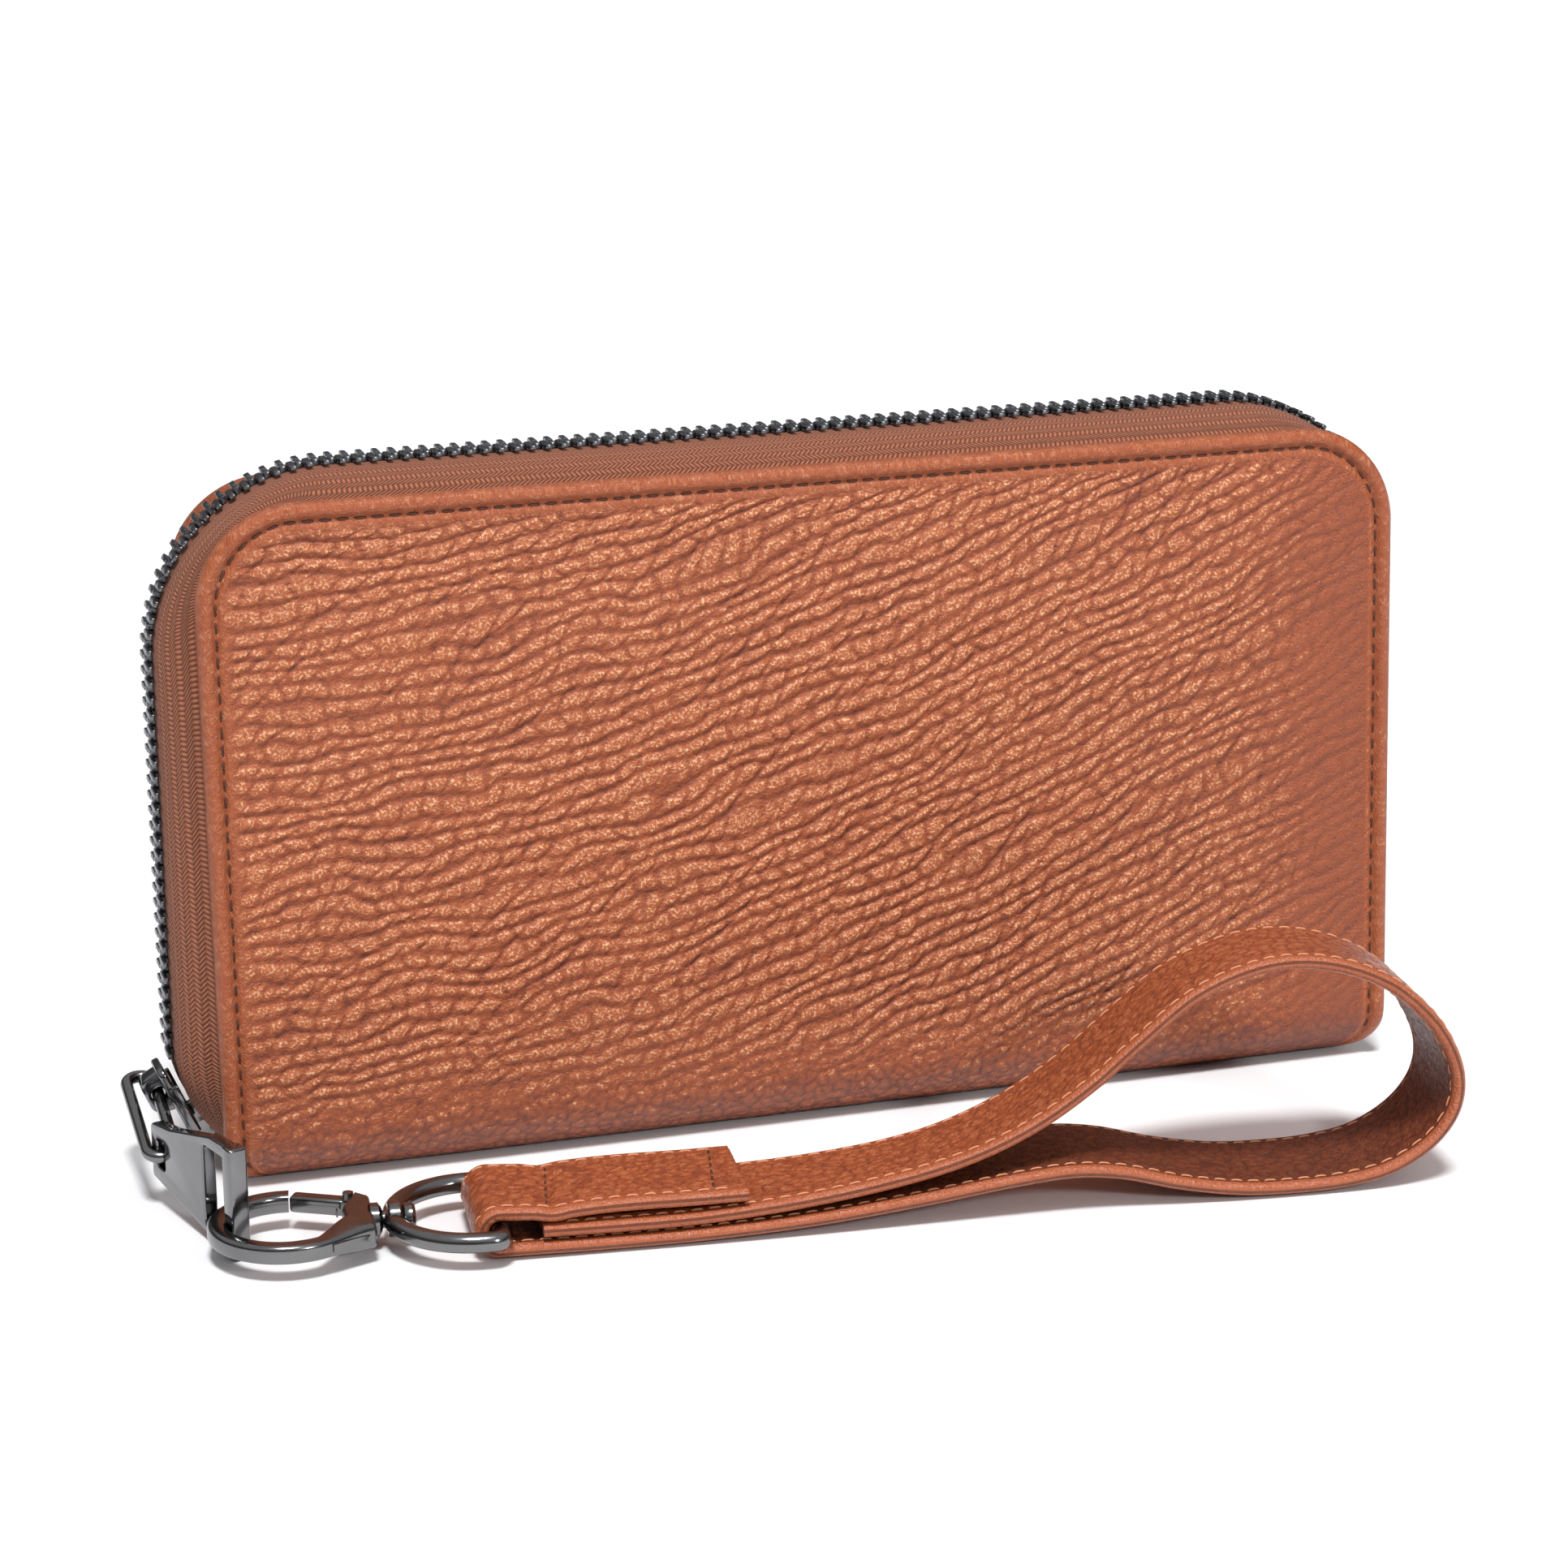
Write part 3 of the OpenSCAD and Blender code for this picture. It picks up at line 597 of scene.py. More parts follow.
def cloth(name, dark, light):
    """Plain woven lining."""
    n = Nodes(name)
    uv = n.place("UV")
    split = n.add("ShaderNodeSeparateXYZ", {"Vector": uv})
    weave = n.math("MULTIPLY", *(
        n.math("ABSOLUTE", n.math("SINE", n.math("MULTIPLY", split.outputs[axis], 700))) for axis in "XY"))
    cloud = n.noise(uv, 30, 3)
    n.link(n.mix(n.math("MULTIPLY", n.math("ADD", weave, cloud), 0.6), dark, light), "Base Color")
    n.link(n.bump(weave, 0.5, 0.0001), "Normal")
    n.settings(Roughness=0.85, Sheen_Weight=0.2)
    return n.material


# Each leather: its colour, then the painted shade of its grooves, then the painted highlight of its peaks
outer_leather = leather(
    "outer leather", (0.345, 0.070, 0.011), (0.135, 0.019, 0.003), (0.48, 0.120, 0.028), gloss=0.5, glint_flecks=0.9)
strap_leather = leather(
    "strap leather", (0.32, 0.066, 0.014), (0.12, 0.016, 0.004), (0.40, 0.100, 0.028), gloss=0.6, glint_flecks=0.3)
# A darker copy of the strap leather for one face of the strap: painted shade
under_leather_painted_shade = leather(
    "strap underside", (0.13, 0.028, 0.009), (0.05, 0.008, 0.003), (0.19, 0.046, 0.016), gloss=0.25)
edge_leather = leather(
    "edge leather", (0.38, 0.090, 0.027), (0.28, 0.06, 0.018), (0.44, 0.12, 0.042), 0.34, gloss=0.5)
inner_leather = leather(
    "inner leather", (0.31, 0.078, 0.026), (0.15, 0.028, 0.009), (0.36, 0.10, 0.040), 0.45, 0.0002, 0.15)
tape_cloth = twill("tape", (0.11, 0.025, 0.009), (0.45, 0.155, 0.075), 0.72, 0.9)
coin_tape_cloth = twill("coin tape", (0.15, 0.040, 0.018), (0.38, 0.135, 0.068), 0.55, 0.8)
lining_cloth = cloth("lining", (0.14, 0.06, 0.03), (0.30, 0.15, 0.08))
gunmetal = metal("gunmetal", (0.19, 0.19, 0.192), 0.14, 0.08)
tooth_metal = metal("tooth metal", (0.15, 0.155, 0.165), 0.24, 0.12)
bright_metal = metal("polished gunmetal", (0.19, 0.19, 0.195), 0.09, 0.05)
dark_thread = thread("dark thread", (0.075, 0.018, 0.008))
pale_thread = thread("pale thread", (0.70, 0.29, 0.15))
inner_thread = thread("inner thread", (0.20, 0.055, 0.022))
board_card = cloth("board", (0.35, 0.33, 0.30), (0.50, 0.48, 0.45))


# ---------- covers ----------


SPINE_ARC = math.pi / 2 + LEAN
P_FLAT = FOOT_Y - SPINE_R
P_ARC = P_FLAT + SPINE_R * SPINE_ARC
P_TOP = P_ARC + (TOP_Z - SPINE_R - SPINE_R * math.sin(LEAN)) / math.cos(LEAN)


def cover_point(x, p, h, side):
    """Point at x along the wallet, p along the skin from the middle of the underside, h outwards."""
    x, p, h = np.broadcast_arrays(x, p, h)
    turn = np.clip((p - P_FLAT) / SPINE_R, 0, SPINE_ARC)
    past = np.maximum(p - P_ARC, 0)
    r = SPINE_R + h
    out = np.where(p < P_FLAT, p, P_FLAT + r * np.sin(turn) - past * math.sin(LEAN))
    return stack(x, side * out, SPINE_R - r * np.cos(turn) + past * math.cos(LEAN))


def outline(inset, step):
    """Left half of the cover's outline in the flat: (x, p), from the underside up and round to the top."""
    radius = CORNER_R - inset
    straight = P_TOP - CORNER_R
    under = np.linspace(0, P_ARC, int(P_ARC / step))
    p = np.concatenate([under, np.linspace(P_ARC, straight, int((straight - P_ARC) / step))[1:]])
    height = cover_point(0, p, 0, 1)[:, 2]
    below = np.clip(SPINE_CORNER - height, 0, SPINE_CORNER)
    x = -HALF_W + SPINE_CORNER - np.sqrt(SPINE_CORNER ** 2 - below ** 2) + inset
    angle = np.linspace(math.pi, math.pi / 2, int(CORNER_R * 1.57 / step))[1:]
    x = np.concatenate([x, -HALF_W + CORNER_R + radius * np.cos(angle)])
    p = np.concatenate([p, straight + radius * np.sin(angle)])
    return stack(x, p)


def across_top(left, columns):
    """A whole outline: the left half, the top edge in this many columns, and the right half."""
    top = np.linspace(left[-1][0], -left[-1][0], columns)[1:-1]
    return np.concatenate([left, stack(top, np.full(len(top), left[-1][1])), left[::-1] * [-1, 1]])


# Section of the turned and beaded edge: (distance in from the outline, height)
EDGE_SECTION = [
    (8.0, -COVER_T), (1.3, -COVER_T), (0.6, -2.2), (0.15, -1.8), (0.0, -1.2), (0.05, -0.7), (0.25, -0.2),
    (0.6, 0.15), (1.1, 0.36), (1.6, 0.40), (2.05, 0.27), (2.4, 0.02), (2.65, -0.26), (2.9, -0.38),
    (3.15, -0.26), (3.5, -0.02), (4.0, 0.06),
]
STITCH_INSET = 2.9
INNER_EDGE = 4.5


def panel_height(x, p, inset):
    """Height of the pebbled field, inset millimetres from the edge, and its grain value with painted shade and
    highlight.
    """
    # Wrinkles lie along the wallet at the left and climb to the right; by the spine the grain is short.
    bend_x, slope = 25, 0.42
    climb = slope / (2 * (bend_x + HALF_W)) * (np.minimum(x, bend_x) + HALF_W) ** 2
    climb += slope * np.maximum(x - bend_x, 0)
    field = smoothstep(15, 30, p)
    grain = short_grain(x, p, 40) * (1 - field) + long_grain(x, p - climb) * field
    strength = smoothstep(3.6, 5.6, inset) * (1 - 0.6 * smoothstep(66, 88, x))
    depth = strength * (0.26 + 0.54 * field) * (0.85 + 0.3 * waves(x / 30, p / 22, 62))
    crown = 0.55 * smoothstep(3, 40, inset) * smoothstep(0, 40, p)
    # Painted light: the tops and upper sides of the pebbles are painted lighter as if lit from above; painted
    # shade darkens the foot and the right end
    upper = np.clip(-0.26 * np.gradient(grain, axis=0) / np.gradient(p, axis=0), -0.22, 0.22)
    tone = BASE_TONE + (0.8 * (grain - 0.64) + upper) * strength
    tone -= 0.42 * (1 - smoothstep(6, 26, p)) + 0.18 * smoothstep(60, 92, x)
    return (grain - GRAIN_LEVEL) * depth + crown, tone


def cover_skin(name, side, step):
    """One cover with its half of the spine, its turned edge and its inner face."""
    left = outline(INNER_EDGE, step)
    columns = int(2 * (HALF_W - CORNER_R) / step)
    points, uvs, shading_tones = [], [], []
    for inset, height in EDGE_SECTION:
        path = across_top(outline(inset, step), columns)
        grain = short_grain(path[:, 0], path[:, 1], 33)
        bead = smoothstep(-1.5, -0.3, height)
        rise = height * smoothstep(P_FLAT, P_ARC, path[:, 1]) if height > 0 else height
        points.append(cover_point(path[:, 0], path[:, 1], rise + 0.05 * bead * (grain - 0.6), side))
        uvs.append(path + [0, 3 * height])
        # The bead's grain value, painted by the leather as shade in its hollows and highlight on its tops
        shading_tones.append(BASE_TONE + 0.2 * bead * (grain - 0.6))
    count = len(points[0])
    faces = grid_faces(len(EDGE_SECTION), count)

    # The inner face: strips from the left end to the right end, and one last face along the top
    n = len(left)
    faces += [[i, i + 1, count - 2 - i, count - 1 - i] for i in range(n - 2)]
    faces.append(list(range(n - 2, count - n + 2)))

    # The field: one row for each point of the left half, from its left end to its right end
    share = np.linspace(0, 1, columns)
    x = left[:, :1] * (1 - 2 * share)
    p = np.repeat(left[:, 1:], columns, axis=1)
    cx, cp = np.maximum(np.abs(x) - (HALF_W - CORNER_R), 0), np.maximum(p - (P_TOP - CORNER_R), 0)
    inset = np.minimum(HALF_W - np.abs(x), P_TOP - p)
    inset = np.where((cx > 0) & (cp > 0), np.minimum(inset, CORNER_R - np.hypot(cx, cp)), inset)
    height, grain = panel_height(x, p, inset)
    start = len(EDGE_SECTION) * count
    points.append(cover_point(x.ravel(), p.ravel(), height.ravel(), side))
    uvs.append(stack(x.ravel(), p.ravel()))
    shading_tones.append(grain.ravel())
    faces += grid_faces(n, columns, start)

    # The last ring of the edge meets the field's left, top and right borders
    last = start - count
    border = [start + i * columns for i in range(n)]
    border += [start + (n - 1) * columns + j for j in range(1, columns - 1)]
    border += [start + i * columns + columns - 1 for i in range(n - 1, -1, -1)]
    faces += [[last + k, last + k + 1, border[k + 1], border[k]] for k in range(count - 1)]

    points, uvs, shading_tones = (np.concatenate(parts) for parts in (points, uvs, shading_tones))
    return fix_normals(mesh_piece(name, points, faces, outer_leather, uvs, shading_tones))


def dashes(route, normals, radius, sides=8):
    """Thread dashes along a route of points, each a small capsule that dips at both ends."""
    along = walk(route)
    steps = 7
    arch = (np.linspace(-1, 1, steps) ** 4)[:, None]
    parts = []
    for k in range(int(along[-1] / STITCH)):
        middle = (k + 0.5) * STITCH
        at = np.linspace(middle - STITCH_LENGTH / 2, middle + STITCH_LENGTH / 2, steps)
        dip = read_off(along, normals, at) * arch * radius * 1.3
        parts.append(tube(read_off(along, route, at) - dip, radius, sides))
    return merge(parts)


def cover_stitches(name, side):
    """Thread in the groove of a cover's edge, down to where the spine turns under."""
    left = outline(STITCH_INSET, 0.7)
    path = across_top(left[left[:, 1] > P_FLAT + 0.75 * SPINE_R], 120)
    route, above = (cover_point(path[:, 0], path[:, 1], h, side) for h in (-0.28, 0.72))
    return mesh_piece(name, *dashes(route, above - route, 0.21), dark_thread)


# ---------- zip ----------


END_LENGTH = END_R * END_TURN
SIDE_LENGTH = CHAIN_H - CHAIN_R - END_Z
BEND_LENGTH = CHAIN_R * math.pi / 2
TOP_LENGTH = 2 * (CHAIN_W - CHAIN_R)
CHAIN_LENGTH = 2 * (END_LENGTH + SIDE_LENGTH + BEND_LENGTH) + TOP_LENGTH


def chain_at(d):
    """Place and direction of the chain at distance d from its lower left end, x from the chain's middle."""
    up = d - END_LENGTH
    if up < 0:
        a = -up / END_R
        return -CHAIN_W + END_R * (1 - math.cos(a)), END_Z - END_R * math.sin(a), math.pi / 2 + a
    if up < SIDE_LENGTH:
        return -CHAIN_W, END_Z + up, math.pi / 2
    over = up - SIDE_LENGTH
    if over < BEND_LENGTH:
        a = over / CHAIN_R
        return -CHAIN_W + CHAIN_R * (1 - math.cos(a)), CHAIN_H - CHAIN_R * (1 - math.sin(a)), math.pi / 2 - a
    if over < BEND_LENGTH + TOP_LENGTH / 2:
        return -CHAIN_W + CHAIN_R + over - BEND_LENGTH, CHAIN_H, 0.0
    x, z, turn = chain_at(CHAIN_LENGTH - d)
    return -x, z, -turn


def inner_face(z):
    """Depth of a cover's inner face at height z."""
    return FOOT_Y - COVER_T / math.cos(LEAN) - max(0.0, z - SPINE_R) * math.tan(LEAN)


def tape_skin(name, side):
    """One half of the tape, bowed out from inside the cover to under the teeth."""
    stations, across, edge_in = 300, 15, 1.6
    half, top, radius = HALF_W - edge_in, TOP_Z - edge_in, CORNER_R - edge_in
    share = np.linspace(0, 1, across)
    v = share * TAPE_W
    rings, uvs = [], []
    for d in np.linspace(0, CHAIN_LENGTH, stations):
        x, z, turn = chain_at(d)
        # The matching point of the cover: the chain's point brought in to a rounded rectangle
        cx = math.copysign(max(abs(x) - (CHAIN_W - CHAIN_R), 0), x) / CHAIN_R
        cz = max(z - (CHAIN_H - CHAIN_R), 0) / CHAIN_R
        if cz > 0:
            base = (half - radius) * min(1, abs(x) / (CHAIN_W - CHAIN_R))
            px, pz = math.copysign(base, x) + cx * radius, top - radius + cz * radius
        else:
            low, high = END_Z, CHAIN_H - CHAIN_R
            px = math.copysign(half, x)
            pz = (top - radius) - (high - max(z, low)) / (high - low) * (top - radius - low)
            if z < low:
                pz = SPINE_R + (low - SPINE_R) * (z - CHAIN_FOOT) / (low - CHAIN_FOOT)
        y_cover = inner_face(pz) - 0.15
        bow = np.sin(np.minimum(1, share / 0.7) * math.pi / 2) ** 0.9
        y = y_cover + (0.55 - y_cover) * share
        out = np.array([-math.sin(turn), 0, math.cos(turn)])
        outer = stack(px + (x + CHAIN_X - px) * bow, side * y, pz + (z - pz) * bow)
        outer += out * 0.12 * np.sin(share * math.pi)[:, None]
        thickness = out * 0.7 * np.linspace(0.4, 1, across)[:, None]
        thickness = thickness + np.outer(1 - share, [0, side * 0.35, 0])
        rings.append(np.concatenate([outer, (outer - thickness)[::-1]]))
        uvs.append(stack(np.full(2 * across, d), np.concatenate([v, v[::-1] + 20])))
    points, faces = sweep(rings)
    return fix_normals(mesh_piece(name, points, faces, tape_cloth, np.concatenate(uvs)))


def tooth_shape():
    """One tooth: two legs over the tape and a head with a narrow waist."""
    head = rounded_block((-0.56, -1.1, -1.12), (0.56, 0.92, 1.12), 0.3)
    head[0][:, 0] *= 1 - 0.22 * np.exp(-((head[0][:, 1] + 0.5) / 0.45) ** 2)
    legs = [rounded_block((-0.48, -3.4, z), (0.48, -0.7, z + 0.78), 0.2) for z in (0.42, -1.2)]
    return merge([head, *legs])


def on_chain(part, d, side):
    """A part laid out as (along, depth, out) put on the chain at distance d."""
    x, z, turn = chain_at(d)
    along, out = (math.cos(turn), 0, math.sin(turn)), (-math.sin(turn), 0, math.cos(turn))
    return mapped(part, along, (0, -side, 0), out, origin=(x + CHAIN_X, 0, z))


def teeth_piece(name, side, offset):
    """One row of teeth with the stop at its end, offset by half a pitch from the other row."""
    shape = tooth_shape()
    first = END_LENGTH - END_R * math.radians(SLIDER_TURN - 20.5)
    count = int((CHAIN_LENGTH - END_LENGTH - first) / TOOTH_PITCH)
    parts = [on_chain(shape, first + offset + k * TOOTH_PITCH, side) for k in range(count)]
    parts.append(on_chain(rounded_block((-1, -3.2, -1.2), (1, -0.8, 1.2), 0.35), 1.2, side))
    return hard_piece(name, merge(parts), tooth_metal)


# ---------- slider and pull ----------


SLIDER_COS, SLIDER_SIN = math.cos(math.radians(SLIDER_TURN)), math.sin(math.radians(SLIDER_TURN))
SLIDER_OUT = np.array([-SLIDER_COS, 0, -SLIDER_SIN])
SLIDER_UP = np.array([-SLIDER_SIN, 0, SLIDER_COS])
SLIDER_AT = CURVE + END_R * SLIDER_OUT
ACROSS = np.array([0.0, 1.0, 0.0])
TUNNEL = SLIDER_AT + 3.8 * SLIDER_OUT + 2.0 * SLIDER_UP
LINK_TIP = math.radians(14)
LINK_HALF = 2.1
LINK_L = 15.2
LINK_BACK = 2.6
EYE = TUNNEL + [-LINK_HALF, -LINK_L * math.cos(LINK_TIP), -LINK_L * math.sin(LINK_TIP)]


def slider_plates():
    """Two plates with round shoulders and turned-in rims, and the wedge between them."""
    shoulders = rounded([(6, -4.6, 2.2), (6, 4.6, 2.2), (-6, 3.6, 1.4), (-6, -3.6, 1.4)])
    plate = cast([shoulders], 1.3, 0.4)
    parts = [mapped(plate, -SLIDER_UP, ACROSS, SLIDER_OUT, origin=SLIDER_AT + out * SLIDER_OUT)
             for out in (1.95, -1.95)]
    blocks = [rounded_block((-1.5, -0.8, -5.4), (1.5, 0.8, -1.8), 0.25)]
    blocks += [rounded_block((0.7, y - 0.45, -5.2), (2.1, y + 0.45, 3.0), 0.2) for y in (-4.1, 4.1)]
    parts += [mapped(block, SLIDER_OUT, ACROSS, SLIDER_UP, origin=SLIDER_AT) for block in blocks]
    return hard_piece("slider_plates", merge(parts), bright_metal)


def slider_bridge():
    """Arched crown with the tunnel that the link passes through."""
    arch = rounded([(-1.5, 2.2, 0.3), (5.5, 2.2, 0.3), (5.1, 5.75, 1.6), (-0.7, 5.75, 1.8)])
    tunnel = arc(2, 3.8, 1.12, 0, 345, 24)
    crown = mapped(cast([arch, tunnel], 3.4, 0.5), SLIDER_UP, SLIDER_OUT, ACROSS, origin=SLIDER_AT)
    return hard_piece("slider_bridge", crown, bright_metal)


def link_ring():
    """Oval ring of round wire, tipped down towards the front."""
    flat = arc(0, LINK_BACK, LINK_HALF, 0, 180, 18) + arc(0, -LINK_L, LINK_HALF, 180, 360, 18)
    runs = []
    for (x0, y0), (x1, y1) in zip(flat, flat[1:] + flat[:1]):
        steps = max(1, int(math.hypot(x1 - x0, y1 - y0) / 0.8))
        runs += [(x0 + (x1 - x0) * k / steps, y0 + (y1 - y0) * k / steps) for k in range(steps)]
    front = np.array([0, math.cos(LINK_TIP), math.sin(LINK_TIP)])
    path = [TUNNEL + [x - LINK_HALF, 0, 0] + y * front for x, y in runs]
    return fix_normals(mesh_piece("link_ring", *tube(path, 0.95, 16, closed=True), gunmetal))


def tab_plate():
    """Upright polished plate: an eye bar, a flat body that widens, and a thick end bar."""
    length, forward, side = heading(BAR[:2] - EYE[:2])
    up, origin = (0, 0, 1), (*EYE[:2], 0)
    outer = rounded([
        (-0.9, 4.4, 0.8), (length - 5, 0.9, 3), (length + 1.2, 0.4, 0.6), (length + 1.2, 17.2, 0.6),
        (length - 6, 16.9, 4), (6, 13.6, 6), (-0.9, 12.8, 0.8)])
    eye = rounded([(1.05, 6.5, 0.6), (1.05, 10.7, 0.6), (3.7, 10.9, 0.6), (3.7, 6.3, 0.6)])
    slot = rounded([
        (length - 8.8, 2.6, 0.9), (length - 8.8, 15.0, 0.9),
        (length - 1.45, 15.0, 0.5), (length - 1.45, 2.6, 0.5)])
    plate = mapped(cast([outer, eye, slot], 2.2, 0.35), forward, up, -side, origin=origin)
    end_bar = rounded_block((length - 1.35, -1.45, 0.4), (length + 1.35, 1.45, 17.2), 0.4, 3)
    eye_bar = rounded_block((-0.95, -0.95, 4.4), (0.95, 0.95, 12.8), 0.55, 3)
    bars = mapped(merge([end_bar, eye_bar]), forward, side, up, origin=origin)
    return hard_piece("tab_plate", merge([plate, bars]), bright_metal)


# ---------- hook and ring ----------


def hook_frame(part):
    """A part laid out from the tab's end bar, x towards the strap, put in the wallet's frame."""
    points, faces = part
    return strap_frame(points[:, 0] - BAR_X, points[:, 1], RING_Z + points[:, 2]), faces


GATE_AT = np.array([16.4, 6.1])
GATE_NOSE = np.array([7.9, 9.9])


def resampled(points, count):
    """This many points, evenly spaced along a route."""
    points = np.asarray(points, float)
    along = walk(points)
    return read_off(along, points, np.linspace(0, along[-1], count))


def hook_casting():
    """Pear-shaped loop of flattened wire that thickens into its base, with the swivel post and its head."""
    outer = np.concatenate([
        resampled(arc(7, 0, 11.4, 84, 301.6, 90), 90),
        resampled([(12.97, -9.71), (18.9, -6.75)], 24)[1:],
        resampled(arc(18.7, -6.0, 0.8, -60, 0, 8), 8),
        resampled([(19.5, -5.8), (19.5, 5.0)], 16)[1:],
        resampled(arc(18.7, 5.2, 0.8, 5, 60, 8), 8),
        resampled([(18.9, 6.1), (17.7, 6.9)], 5)[1:]])
    inner = np.concatenate([
        resampled(arc(7, 0, 8.5, 84, 296, 90), 90),
        resampled([(10.73, -7.64), (14.9, -1.9)], 24)[1:],
        resampled(arc(14.4, -1.3, 0.8, -40, 0, 8), 8),
        resampled([(15.2, -1.1), (15.2, 1.0)], 16)[1:],
        resampled(arc(14.4, 1.1, 0.8, 0, 30, 8), 8),
        resampled([(15.2, 1.7), (16.4, 3.0)], 5)[1:]])
    middle, half = (outer + inner) / 2, (outer - inner) / 2
    thick = 1.45 + 0.75 * smoothstep(11.5, 16.5, middle[:, 0]) * (outer[:, 1] < 8)
    turn = np.linspace(0, 2 * math.pi, 24, endpoint=False)
    flat, high = (np.sign(wave) * np.abs(wave) ** 0.55 for wave in (np.cos(turn), np.sin(turn)))
    rings = stack(*(middle[:, c, None] + half[:, c, None] * flat for c in (0, 1)), thick[:, None] * high)
    collar = lathe([
        (19.0, 0.5), (19.0, 2.5), (20.2, 2.5), (20.6, 1.9), (20.8, 1.3), (23.5, 1.3),
        (23.7, 1.9), (24.1, 2.2), (25.0, 2.2), (25.5, 1.7), (25.6, 0.4)])
    slot_pin = mapped(rounded_block((-3.2, -0.35, -0.7), (3.2, 0.35, 0.7), 0.2),
                      (0.87, 0.49, 0), (-0.49, 0.87, 0), (0, 0, 1), origin=(15.6, -8.15, 0.1))
    return hard_piece("hook_casting", hook_frame(merge([sweep(rings), collar, slot_pin])), gunmetal, 40)


def gate_arm():
    """Straight bar with a drum at its pin."""
    length, forward, side = heading(GATE_NOSE - GATE_AT)
    bar = rounded_block((0.3, -1.25, -1.25), (length - 0.6, 1.25, 1.25), 0.5, 3)
    bar = mapped(bar, forward, side, (0, 0, 1), origin=(*GATE_AT, 0))
    drum = lathe([(-1.0, 0.86), (-1.0, 1.2), (-0.8, 1.4), (0.8, 1.4), (1.0, 1.2), (1.0, 0.86)], hollow=True)
    drum = mapped(drum, (0, 0, 1), (1, 0, 0), (0, 1, 0), origin=(*GATE_AT, 0))
    return hard_piece("gate_arm", hook_frame(merge([bar, drum])), gunmetal)


def ring_piece():
    """D-shaped ring with its boss, open for the swivel post."""
    half, bow, bend = 11.9, 34.1, 1.6
    path = arc(bow, 0, half, 90, 270, 48)
    path += arc(BAR_X - bend, -half + bend, bend, 270, 360, 7)
    path += [(BAR_X, y) for y in np.linspace(-half + bend + 0.8, half - bend - 0.8, 20)]
    path += arc(BAR_X - bend, half - bend, bend, 0, 90, 7)
    wire = tube([(x, y, 0) for x, y in path], 1.5, 18, closed=True)
    boss = lathe(
        [(21.5, 1.37), (21.5, 2.4), (21.8, 2.7), (23.2, 2.7), (23.5, 2.4), (23.5, 1.37)], hollow=True)
    return hard_piece("ring_and_boss", hook_frame(merge([wire, boss])), gunmetal)


# ---------- strap ----------


STRAP_ROUTE = [
    (5, 1.5), (14, 1.4), (30, 1.55), (46, 2.4), (62, 4.1), (74, 5.7), (84, 6.6),
    (92, 5.8), (101, 3.4), (110, 1.8), (118, 1.4), (126, 1.7), (133, 3.1),
    (139, 6.5), (142.6, 11), (143.5, 16), (142, 21.2), (138.5, 26.6),
    (132.5, 31.8), (125, 35), (117.4, 36), (110, 34.8), (102, 31.2),
    (94, 24.8), (87, 18.9), (79, 13.6), (70, 9.6), (60, 7), (46, 5.1),
    (30, 4.1), (16, 3.95), (6, 4.05),
]
FLAP_END = 36.0
FOLD_R = 2.85


def smooth_route(points, count):
    """Smooth curve through the points: this many evenly spaced points, and the distance to each."""
    points = np.asarray(points, float)
    padded = np.concatenate([[2 * points[0] - points[1]], points, [2 * points[-1] - points[-2]]])
    t = np.linspace(0, 1, 12, endpoint=False)[:, None]
    curve = np.concatenate([
        0.5 * (2 * b + (c - a) * t + (2 * a - 5 * b + 4 * c - d) * t ** 2 + (3 * b - a - 3 * c + d) * t ** 3)
        for a, b, c, d in zip(padded, padded[1:], padded[2:], padded[3:])] + [points[-1:]])
    along = walk(curve)
    at = np.linspace(0, along[-1], count)
    return read_off(along, curve, at), at


def strap_frame(s, w, z):
    """Point at s past the ring's bar, w towards the wallet, at height z."""
    s, w, z = np.broadcast_arrays(s, w, z)
    along = s + BAR_X
    x = BAR[0] + along * math.cos(STRAP_TURN) + w * math.sin(STRAP_TURN)
    y = BAR[1] - along * math.sin(STRAP_TURN) + w * math.cos(STRAP_TURN)
    return stack(x, y, z)


def strap_line():
    """Whole middle line of the ribbon: flap, fold round the bar, loop, and the sandwiched end."""
    flap = [(FLAP_END, 7.1), (28, 7.05), (18, 7.1), (11, 6.8), (7.6, 6.35), (4.6, 6.8)]
    angles = np.radians([75, 100, 125, 150, 180, 210, 235, 260, 282])
    fold = [(FOLD_R * math.cos(a), RING_Z + FOLD_R * math.sin(a)) for a in angles]
    return smooth_route(flap + fold + STRAP_ROUTE, 820)


